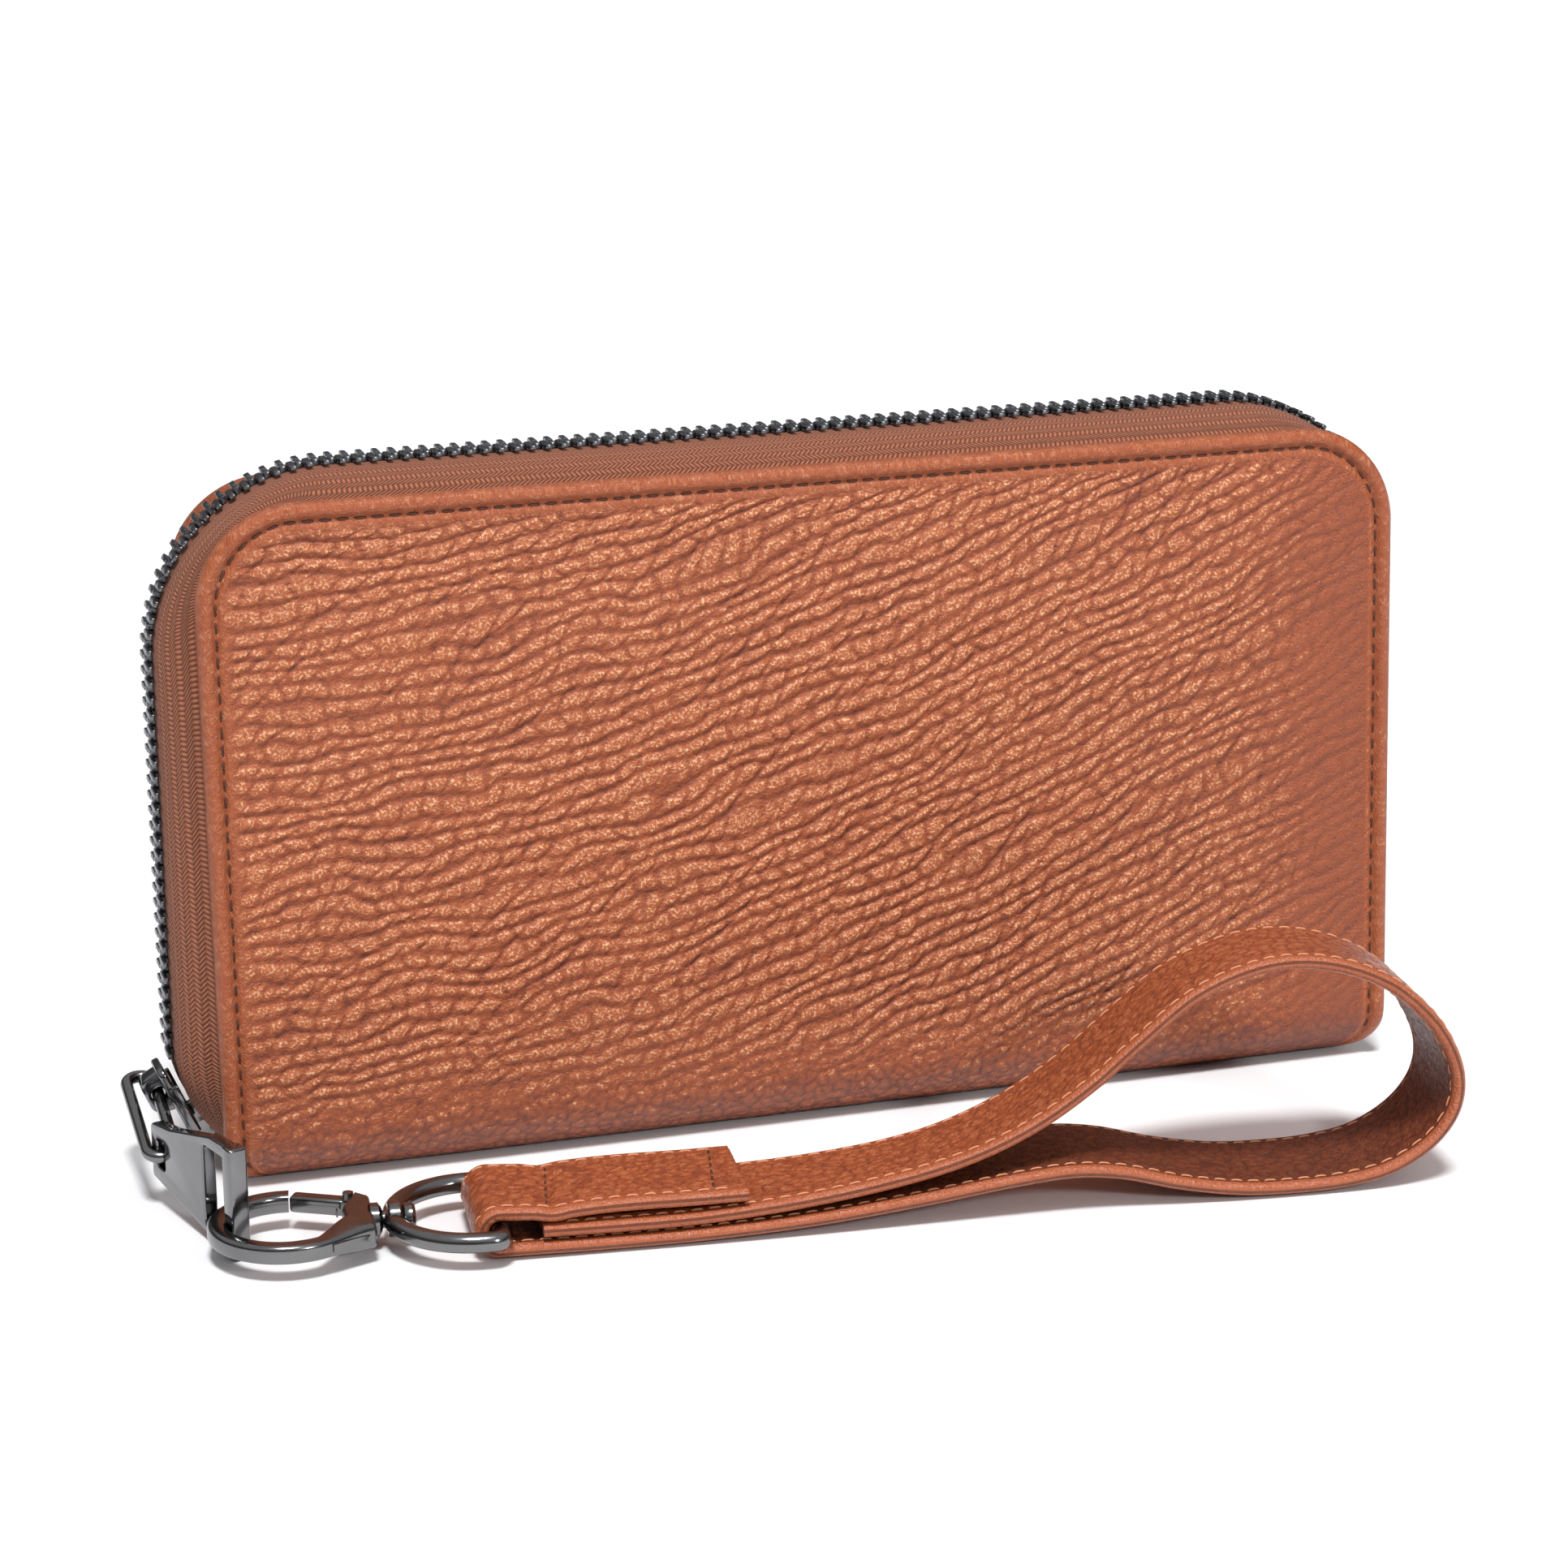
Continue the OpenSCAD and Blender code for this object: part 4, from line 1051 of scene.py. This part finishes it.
def ribbon():
    """Strap with rounded painted edges, sewn grooves and grain on both faces."""
    line, at = strap_line()
    normal = left_of(line)
    # The loop's top leans towards the wallet
    lean = 0.15 * smoothstep(205, 250, at) * (1 - smoothstep(290, 335, at))
    half = STRAP_W / 2
    w = np.concatenate([
        [-half, -half + 0.12, -half + 0.45, -half + 1.0],
        np.linspace(-half + 1.45, half - 1.45, 34),
        [half - 1.0, half - 0.45, half - 0.12, half]])
    edge = half - np.abs(w)
    body = STRAP_T / 2 * (0.86 * round_over(edge / 1.1) + 0.14 * smoothstep(0, 3, edge))
    groove = 0.16 * np.exp(-((edge - STRAP_STITCH) / 0.4) ** 2)
    strength = smoothstep(1.8, 3.4, edge)
    u, v = np.meshgrid(at, w, indexing="ij")
    both = []
    for sign, salt, along in ((1, 80, u), (-1, 120, u + 400)):
        grain = short_grain(u, v, salt)
        height = sign * (body - groove + (grain - GRAIN_LEVEL) * 0.22 * strength)
        s, z = (line[:, c, None] + height * normal[:, c, None] for c in (0, 1))
        points = strap_frame(s, v, z - v * STRAP_DROP * np.tan(lean)[:, None])
        # The grain value, painted by the leather as shade in the hollows and highlight on the tops
        grain = BASE_TONE + (grain - BASE_TONE) * (0.3 + 0.7 * strength)
        both.append((points, stack(along, v), grain))
    # One ring goes over the top face and back under the bottom face
    rings, uv, grain = (np.concatenate([top, bottom[:, -2:0:-1]], axis=1) for top, bottom in zip(*both))
    n, count = len(w), rings.shape[1]
    points, faces = sweep(rings)
    column = np.tile(np.arange(count), len(at) - 1)
    near_edge = (column < 3) | ((column >= n - 4) & (column <= n + 1)) | (column >= count - 3)
    # One face takes the darker copy of the strap leather: painted shade
    slots = np.concatenate([np.where(near_edge, 1, np.where(column >= n, 0, 2)), [1, 1]])
    obj = mesh_piece("strap_ribbon", points, faces, [strap_leather, edge_leather, under_leather_painted_shade],
                     uv.reshape(-1, 2), grain.ravel(), slots)
    return fix_normals(obj), line, normal, lean


def strap_stitches(line, normal, lean):
    """Thread along both edges of both faces, and the two rows that close the fold."""
    made = []
    lift = STRAP_T / 2 * 0.93
    inner = slice(6, -6)
    for sign, face in ((1, "outer"), (-1, "inner")):
        for edge, where in ((-1, "front"), (1, "back")):
            w = edge * (STRAP_W / 2 - STRAP_STITCH)
            levels = (line + sign * h * normal for h in (lift, lift + 1))
            drop = STRAP_DROP * w * np.tan(lean)
            route, above = (strap_frame(at[:, 0], w, at[:, 1] - drop) for at in levels)
            part = dashes(route[inner], (above - route)[inner], 0.14)
            made.append(mesh_piece(f"strap_thread_{face}_{where}", *part, pale_thread))
    for k, (s, height) in enumerate(((7.6, 7.45), (FLAP_END - 4, 8.2))):
        w = np.linspace(-STRAP_W / 2 + 1.9, STRAP_W / 2 - 1.9, 30)
        route = strap_frame(s + 0.12 * w, w, height)
        part = dashes(route, np.tile([0, 0, 1.0], (30, 1)), 0.2)
        made.append(mesh_piece(f"strap_cross_thread_{k + 1}", *part, dark_thread))
    return made


# ---------- inside ----------


LEAF_HALF = node_box("front_slip_pocket")[1][0]
LINING_HALF = node_box("front_lining")[1][0]
COIN_LOW = node_box("coin_wall_front")[0]
COIN_HIGH = node_box("coin_wall_back")[1]
COIN_T = 4.4
COIN_TOOTH_PITCH = 2.6
LEAF_STITCH = 2.0
LEAF_FOOT = 6.0
LEAF_DROP = 11.0
CARD_TOP = 66.0
SLIP_TOP = 78.0
# A gusset's outer edge along the wallet, and the height from which its fold deepens
GUSSET_END = 88.7
GUSSET_WAIST = 14


def in_cover(side):
    """Where a point goes that lies depth inside a cover's outer face and up above the fold."""
    def at(x, depth, up):
        y = FOOT_Y - depth * math.cos(LEAN) - up * math.sin(LEAN)
        return stack(x, side * y, SPINE_R - depth * math.sin(LEAN) + up * math.cos(LEAN))
    return at


def in_coin_pocket(side):
    """Where a point goes that lies depth inside one face of the coin pocket, at height up."""
    def at(x, depth, up):
        return stack(x, side * (COIN_T / 2 - depth) + 0 * x, up + 0 * x)
    return at


def level(height):
    """A straight upper edge at this height."""
    return lambda x: height + 0 * x


def seam(at, x, depth, up, rise=1.0):
    """Fine thread on one line of a leaf that lies as at() says. It shows on the side where rise points."""
    route, above = (at(x, depth + h + 0 * x, up + 0 * x) for h in (0.0, rise))
    return dashes(route, above - route, 0.12, sides=6)


def leaf(name, at, half, foot, top, depth, thickness, material):
    """A thin sewn leaf with round edges, and the thread along its top and ends. top(x) is its upper edge."""
    near, margin = thickness * np.array([0.0, 0.1, 0.3, 0.6]), 1.2
    inner = np.linspace(-half + margin, half - margin, int(half * 1.6))
    x = np.concatenate([-half + near, inner, half - near[::-1]])
    crest = top(x)
    levels = [foot + gap + 0 * x for gap in near]
    levels += [foot + margin + (crest - foot - 2 * margin) * share for share in np.linspace(0, 1, 26)[1:-1]]
    up = np.array(levels + [crest - gap for gap in near[::-1]])
    across = np.repeat(x[None, :], len(up), axis=0)
    edge = np.minimum(np.minimum(half - np.abs(across), up - foot), crest - up)
    grain = short_grain(across, up, thickness * 10)
    bulge = thickness / 2 * (0.06 + 0.94 * round_over(edge * 2 / thickness))
    groove = 0.07 * np.exp(-((edge - LEAF_STITCH) / 0.35) ** 2)
    middle = depth + thickness / 2
    inner_side = middle + bulge - groove - 0.05 * (1 - grain) * smoothstep(1, 3, edge)
    points = np.concatenate([at(across, h, up).reshape(-1, 3) for h in (inner_side, middle - bulge)])
    count, columns = up.shape
    total = count * columns
    faces = grid_faces(count, columns) + [face[::-1] for face in grid_faces(count, columns, total)]
    index = np.arange(total).reshape(count, columns)
    ring = [*index[0], *index[1:, -1], *index[-1, -2::-1], *index[-2:0:-1, 0]]
    faces += [[a, b, b + total, a + total] for a, b in zip(ring, ring[1:] + ring[:1])]
    uv = np.tile(stack(across.ravel(), up.ravel()), (2, 1))
    # The grain value, painted by the leather as shade in the hollows and highlight on the tops
    tone = np.tile(BASE_TONE + 0.3 * (grain.ravel() - BASE_TONE), 2)
    obj = fix_normals(mesh_piece(name, points, faces, material, uv, tone))
    end = half - LEAF_STITCH
    face = depth + thickness - 0.03
    along = np.linspace(-end, end, 160)
    thread = [seam(at, along, face, top(along) - LEAF_STITCH)]
    for side in (-1, 1):
        rise = np.linspace(foot + 1, top(np.array(side * half)) - LEAF_STITCH, 60)
        thread.append(seam(at, side * end + 0 * rise, face, rise))
    return obj, thread


def card_edge(i):
    """Upper edge of card pocket i, with a thumb notch over each of its two mouths."""
    top = CARD_TOP - (i - 1) * LEAF_DROP
    notch = 20.0

    def height(x):
        off = np.abs(np.abs(x) - LEAF_HALF / 2)
        cut = np.sqrt(np.clip(notch ** 2 - off ** 2, 0, None))
        return np.where(off < notch, np.minimum(top, top + 14 - cut), top)
    return height


def lining_edge(x):
    """Upper edge of a lining, with round corners."""
    top = P_TOP - P_ARC - 6
    corner = CORNER_R - 6
    past = np.clip(np.abs(x) - (LINING_HALF - corner), 0, corner)
    return top - corner + np.sqrt(corner ** 2 - past ** 2)


def cover_inside(which, side):
    """Lining, slip pocket and four stepped card pockets of one cover, and the pockets' thread."""
    body, at, thread, gap = f"{which}_cover", in_cover(side), [], 0.05
    depth = COVER_T + gap
    plan = [("lining", lining_cloth, LINING_HALF, 3.0, lining_edge, 0.4),
            ("slip_pocket", inner_leather, LEAF_HALF, LEAF_FOOT, level(SLIP_TOP), 0.6)]
    plan += [(f"card_pocket_{i}", inner_leather, LEAF_HALF, LEAF_FOOT, card_edge(i), 0.5)
             for i in range(1, 5)]
    for name, material, half, foot, top, thickness in plan:
        piece, sewing = leaf(f"{which}_{name}_leaf", at, half, foot, top, depth, thickness, material)
        place(piece, body, f"{which}_{name}")
        thread += sewing if name != "lining" else []
        depth += thickness + gap
    divider = np.linspace(LEAF_FOOT + 1, CARD_TOP - 3 * LEAF_DROP - 2, 60)
    thread.append(seam(at, 0 * divider, depth - 0.03, divider))
    place(mesh_piece(f"{which}_pocket_thread", *merge(thread), inner_thread), body)


def gusset_reach(z):
    """How far a gusset goes at height z: across to each lining, and along to its end of the wallet."""
    inner_r = SPINE_R - COVER_T
    below = max(0.0, SPINE_R - z)
    reach = inner_face(z) - inner_r + math.sqrt(inner_r ** 2 - below ** 2) - 0.55
    return reach, GUSSET_END - 3.5 * (1 - float(smoothstep(2.5, COIN_LOW[2] - 1, z)))


def web_ring(line, half_thickness, end, z):
    """One level of a web at height z: the line across the wallet, given its thickness."""
    loop = np.concatenate([line + half_thickness, (line - half_thickness)[::-1]])
    return stack(end * loop[:, 0], loop[:, 1], np.full(len(loop), z))


def gusset(name, end):
    """Folded leather web at one end, from lining to lining round the coin pocket's side."""
    levels, steps = 32, 28
    low, high = 2.75, 80.0
    rings = []
    for z in np.linspace(low, high, levels):
        share = max(0.0, (z - GUSSET_WAIST) / (high - GUSSET_WAIST))
        fold = 3 + 14 * share
        reach, edge = gusset_reach(z)
        u = np.linspace(0, 1, steps)
        y = reach + (COIN_HIGH[1] + 0.3 - reach) * u
        x = edge - fold * np.sin(u * math.pi) ** 2
        half_line = stack(x, y)
        line = np.concatenate([half_line * [1, -1], half_line[::-1]])
        thick = 0.32 * np.ones((len(line), 1))
        thick[[0, -1]] = 0.12
        rings.append(web_ring(line, left_of(line) * thick, end, z))
    points, faces = sweep(rings)
    uv = stack(points[:, 1] * 1.6, points[:, 2])
    obj = mesh_piece(name, points, faces, inner_leather, uv, np.full(len(points), BASE_TONE))
    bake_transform(fix_normals(obj))
    side = "left" if end < 0 else "right"
    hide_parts(f"{side}_gusset_front", f"{side}_gusset_back")


def gusset_foot(name, end):
    """Small leather wall at one end that stays with the spine and closes it outside the gusset's foot."""
    rings = []
    for z in np.linspace(2.75, 13.4, 18):
        reach, edge = gusset_reach(z)
        y = (reach - 1.4 * float(smoothstep(12, 13.4, z))) * np.linspace(-1, 1, 24)
        rings.append(web_ring(stack(edge + 0.85 + 0 * y, y), [-0.25, 0], end, z))
    points, faces = sweep(rings)
    obj = mesh_piece(name, points, faces, inner_leather, points[:, 1:], np.full(len(points), BASE_TONE))
    place(sharpen(fix_normals(obj)), "front_cover")


def coin_pocket():
    """Zipped middle pocket: two walls, two tapes and a short chain."""
    thread, half = [], COIN_HIGH[0]
    for name, side in (("front", -1), ("back", 1)):
        at = in_coin_pocket(side)
        wall, _ = leaf(
            f"coin_pocket_wall_{name}", at, half, COIN_LOW[2], level(COIN_HIGH[2]), 0.0, 0.8, inner_leather)
        place(wall, "coin_pocket", f"coin_wall_{name}")
        tape, _ = leaf(f"coin_zip_tape_{name}", at, half, 74.0, level(86.0), 0.85, 0.5, coin_tape_cloth)
        place(tape, "coin_pocket", f"coin_tape_{name}")
        thread.append(seam(at, np.linspace(-half + 2, half - 2, 160), 0.0, COIN_HIGH[2] - 1.6, rise=-1.0))
    place(mesh_piece("coin_pocket_thread", *merge(thread), inner_thread), "coin_pocket")
    shape = merge([rounded_block((-0.9, -0.75, -1.2), (0.25, 0.75, 1.2), 0.25),
                   rounded_block((0.15, -0.5, -0.8), (0.9, 0.5, 0.8), 0.2)])
    low, high = node_box("coin_teeth")
    parts = [mapped(shape, *np.eye(3), origin=(x, 0, high[2] - 1.2))
             for x in np.arange(low[0] + 0.9, high[0], COIN_TOOTH_PITCH)]
    place(hard_piece("coin_chain", merge(parts), tooth_metal), "coin_pocket", "coin_teeth")


# ---------- put it together ----------


def place(obj, body, *nodes, slot=None):
    """obj rides on a body and stands for these CAD nodes."""
    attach(obj, body)
    if nodes:
        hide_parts(*nodes)
    return obj


def dress(node, material, bevel=0.0):
    """A CAD node that stays gets its material, and a small bevel."""
    obj = frame["nodes"][node]
    obj.data.materials.clear()
    obj.data.materials.append(material)
    if bevel:
        modifier = obj.modifiers.new("Bevel", "BEVEL")
        modifier.width = bevel * MM
        modifier.segments = 3
        modifier.limit_method = "ANGLE"
        modifier.angle_limit = math.radians(35)


def across_fold(obj):
    """Bakes the piece's placement into its mesh, where it stays on no body."""
    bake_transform(obj)
    return obj


place(cover_skin("cover_front", -1, 0.36), "front_cover", "front_panel", "spine", slot="outer_leather")
back_skin = across_fold(cover_skin("cover_back", 1, 0.42))
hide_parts("back_panel")
place(cover_stitches("cover_front_stitches", -1), "front_cover")
across_fold(cover_stitches("cover_back_stitches", 1))

for piece, side in (("front", -1), ("back", 1)):
    place(tape_skin(f"tape_{piece}", side), f"{piece}_cover", f"{piece}_tape", slot="tape")
for piece, side, offset in (("front", -1, 0), ("back", 1, TOOTH_PITCH / 2)):
    place(teeth_piece(f"teeth_{piece}", side, offset), f"{piece}_cover", f"{piece}_teeth", slot="gunmetal")

for make, body, node in (
        (slider_plates, "zip_slider", "slider_body"), (slider_bridge, "zip_slider", "slider_crown"),
        (link_ring, "pull_link", "pull_link"), (tab_plate, "pull_tab", "pull_tab"),
        (hook_casting, "hook", "hook_body"), (gate_arm, "gate", "hook_gate"),
        (ring_piece, "swivel_ring", "swivel_ring")):
    place(make(), body, node, slot="gunmetal")

strap, *strap_shape = ribbon()
place(strap, "strap", "strap_loop", "strap_fold", "strap_flap", slot="outer_leather")
for piece in strap_stitches(*strap_shape):
    place(piece, "strap")

cover_inside("front", -1)
cover_inside("back", 1)
gusset("gusset_left", -1)
gusset("gusset_right", 1)
gusset_foot("gusset_left_foot", -1)
gusset_foot("gusset_right_foot", 1)
coin_pocket()

for node, bevel in (
        ("coin_slider", 0.25), ("coin_pull", 0.25), ("bottom_stop", 0.25),
        ("gate_pin", 0.05), ("gate_spring", 0.05)):
    dress(node, gunmetal, bevel)
for node in ("front_board", "back_board"):
    dress(node, board_card)


# ---------- floor, light and camera ----------


def floor():
    """Pale matt floor that reaches past every view, in metres."""
    half = 60.0
    n = Nodes("floor")
    n.settings(Base_Color=(0.80, 0.80, 0.81, 1), Roughness=0.7)
    data = bpy.data.meshes.new("floor")
    corners = [(-half, -half, 0), (half, -half, 0), (half, half, 0), (-half, half, 0)]
    data.from_pydata(corners, [], [(0, 1, 2, 3)])
    data.materials.append(n.material)
    stand("floor", data)


def lamp(name, kind, power, aim, at=(0, 0, 0), **settings):
    """A light that shines along aim, from a place in metres."""
    data = bpy.data.lights.new(name, kind)
    data.energy = power
    for key, value in settings.items():
        setattr(data, key, value)
    obj = stand(name, data)
    obj.location = at
    obj.rotation_euler = Vector(aim).to_track_quat("-Z", "Y").to_euler()


def camera():
    """The only camera, a little to the left of the wallet and above it."""
    azimuth, elevation, roll = math.radians(-17.61), math.radians(15.79), math.radians(-0.57)
    distance, target = 0.6387, Vector((-0.00221, 0, 0.05119))
    flat = math.cos(elevation)
    back = Vector((math.sin(azimuth) * flat, -math.cos(azimuth) * flat, math.sin(elevation)))
    right = (-back).cross(Vector((0, 0, 1))).normalized()
    up = right.cross(-back)
    turned_right = math.cos(roll) * right + math.sin(roll) * up
    turned_up = -math.sin(roll) * right + math.cos(roll) * up
    data = bpy.data.cameras.new("camera")
    data.lens = 93.9
    data.sensor_width = 36
    obj = stand("camera", data)
    turn = Matrix((turned_right, turned_up, back)).transposed()
    obj.matrix_world = Matrix.Translation(target + back * distance) @ turn.to_4x4()
    bpy.context.scene.camera = obj


def world():
    """Studio dome: dimmer walls, brighter ceiling."""
    data = bpy.data.worlds.new("studio")
    data.use_nodes = True
    tree = data.node_tree
    place_node = tree.nodes.new("ShaderNodeTexCoord")
    split = tree.nodes.new("ShaderNodeSeparateXYZ")
    ramp = tree.nodes.new("ShaderNodeValToRGB")
    tree.links.new(place_node.outputs["Generated"], split.inputs[0])
    tree.links.new(split.outputs["Z"], ramp.inputs["Fac"])
    points = ramp.color_ramp.elements
    while len(points) < 3:
        points.new(0.5)
    for point, (place_z, level) in zip(points, ((0.0, 0.11), (0.35, 0.12), (0.60, 0.55))):
        point.position = place_z
        point.color = (level, level, level * 1.02, 1)
    tree.links.new(ramp.outputs["Color"], tree.nodes["Background"].inputs["Color"])
    bpy.context.scene.world = data


camera()
world()
floor()
lamp("sun", "SUN", 3.3, (0.10, 0.42, -1.0), angle=math.radians(12))
lamp("key", "AREA", 3.6, (-0.30, 1.0, -0.44), (0.30, -1.0, 0.50), size=0.12)
bpy.context.scene.view_settings.view_transform = "Standard"
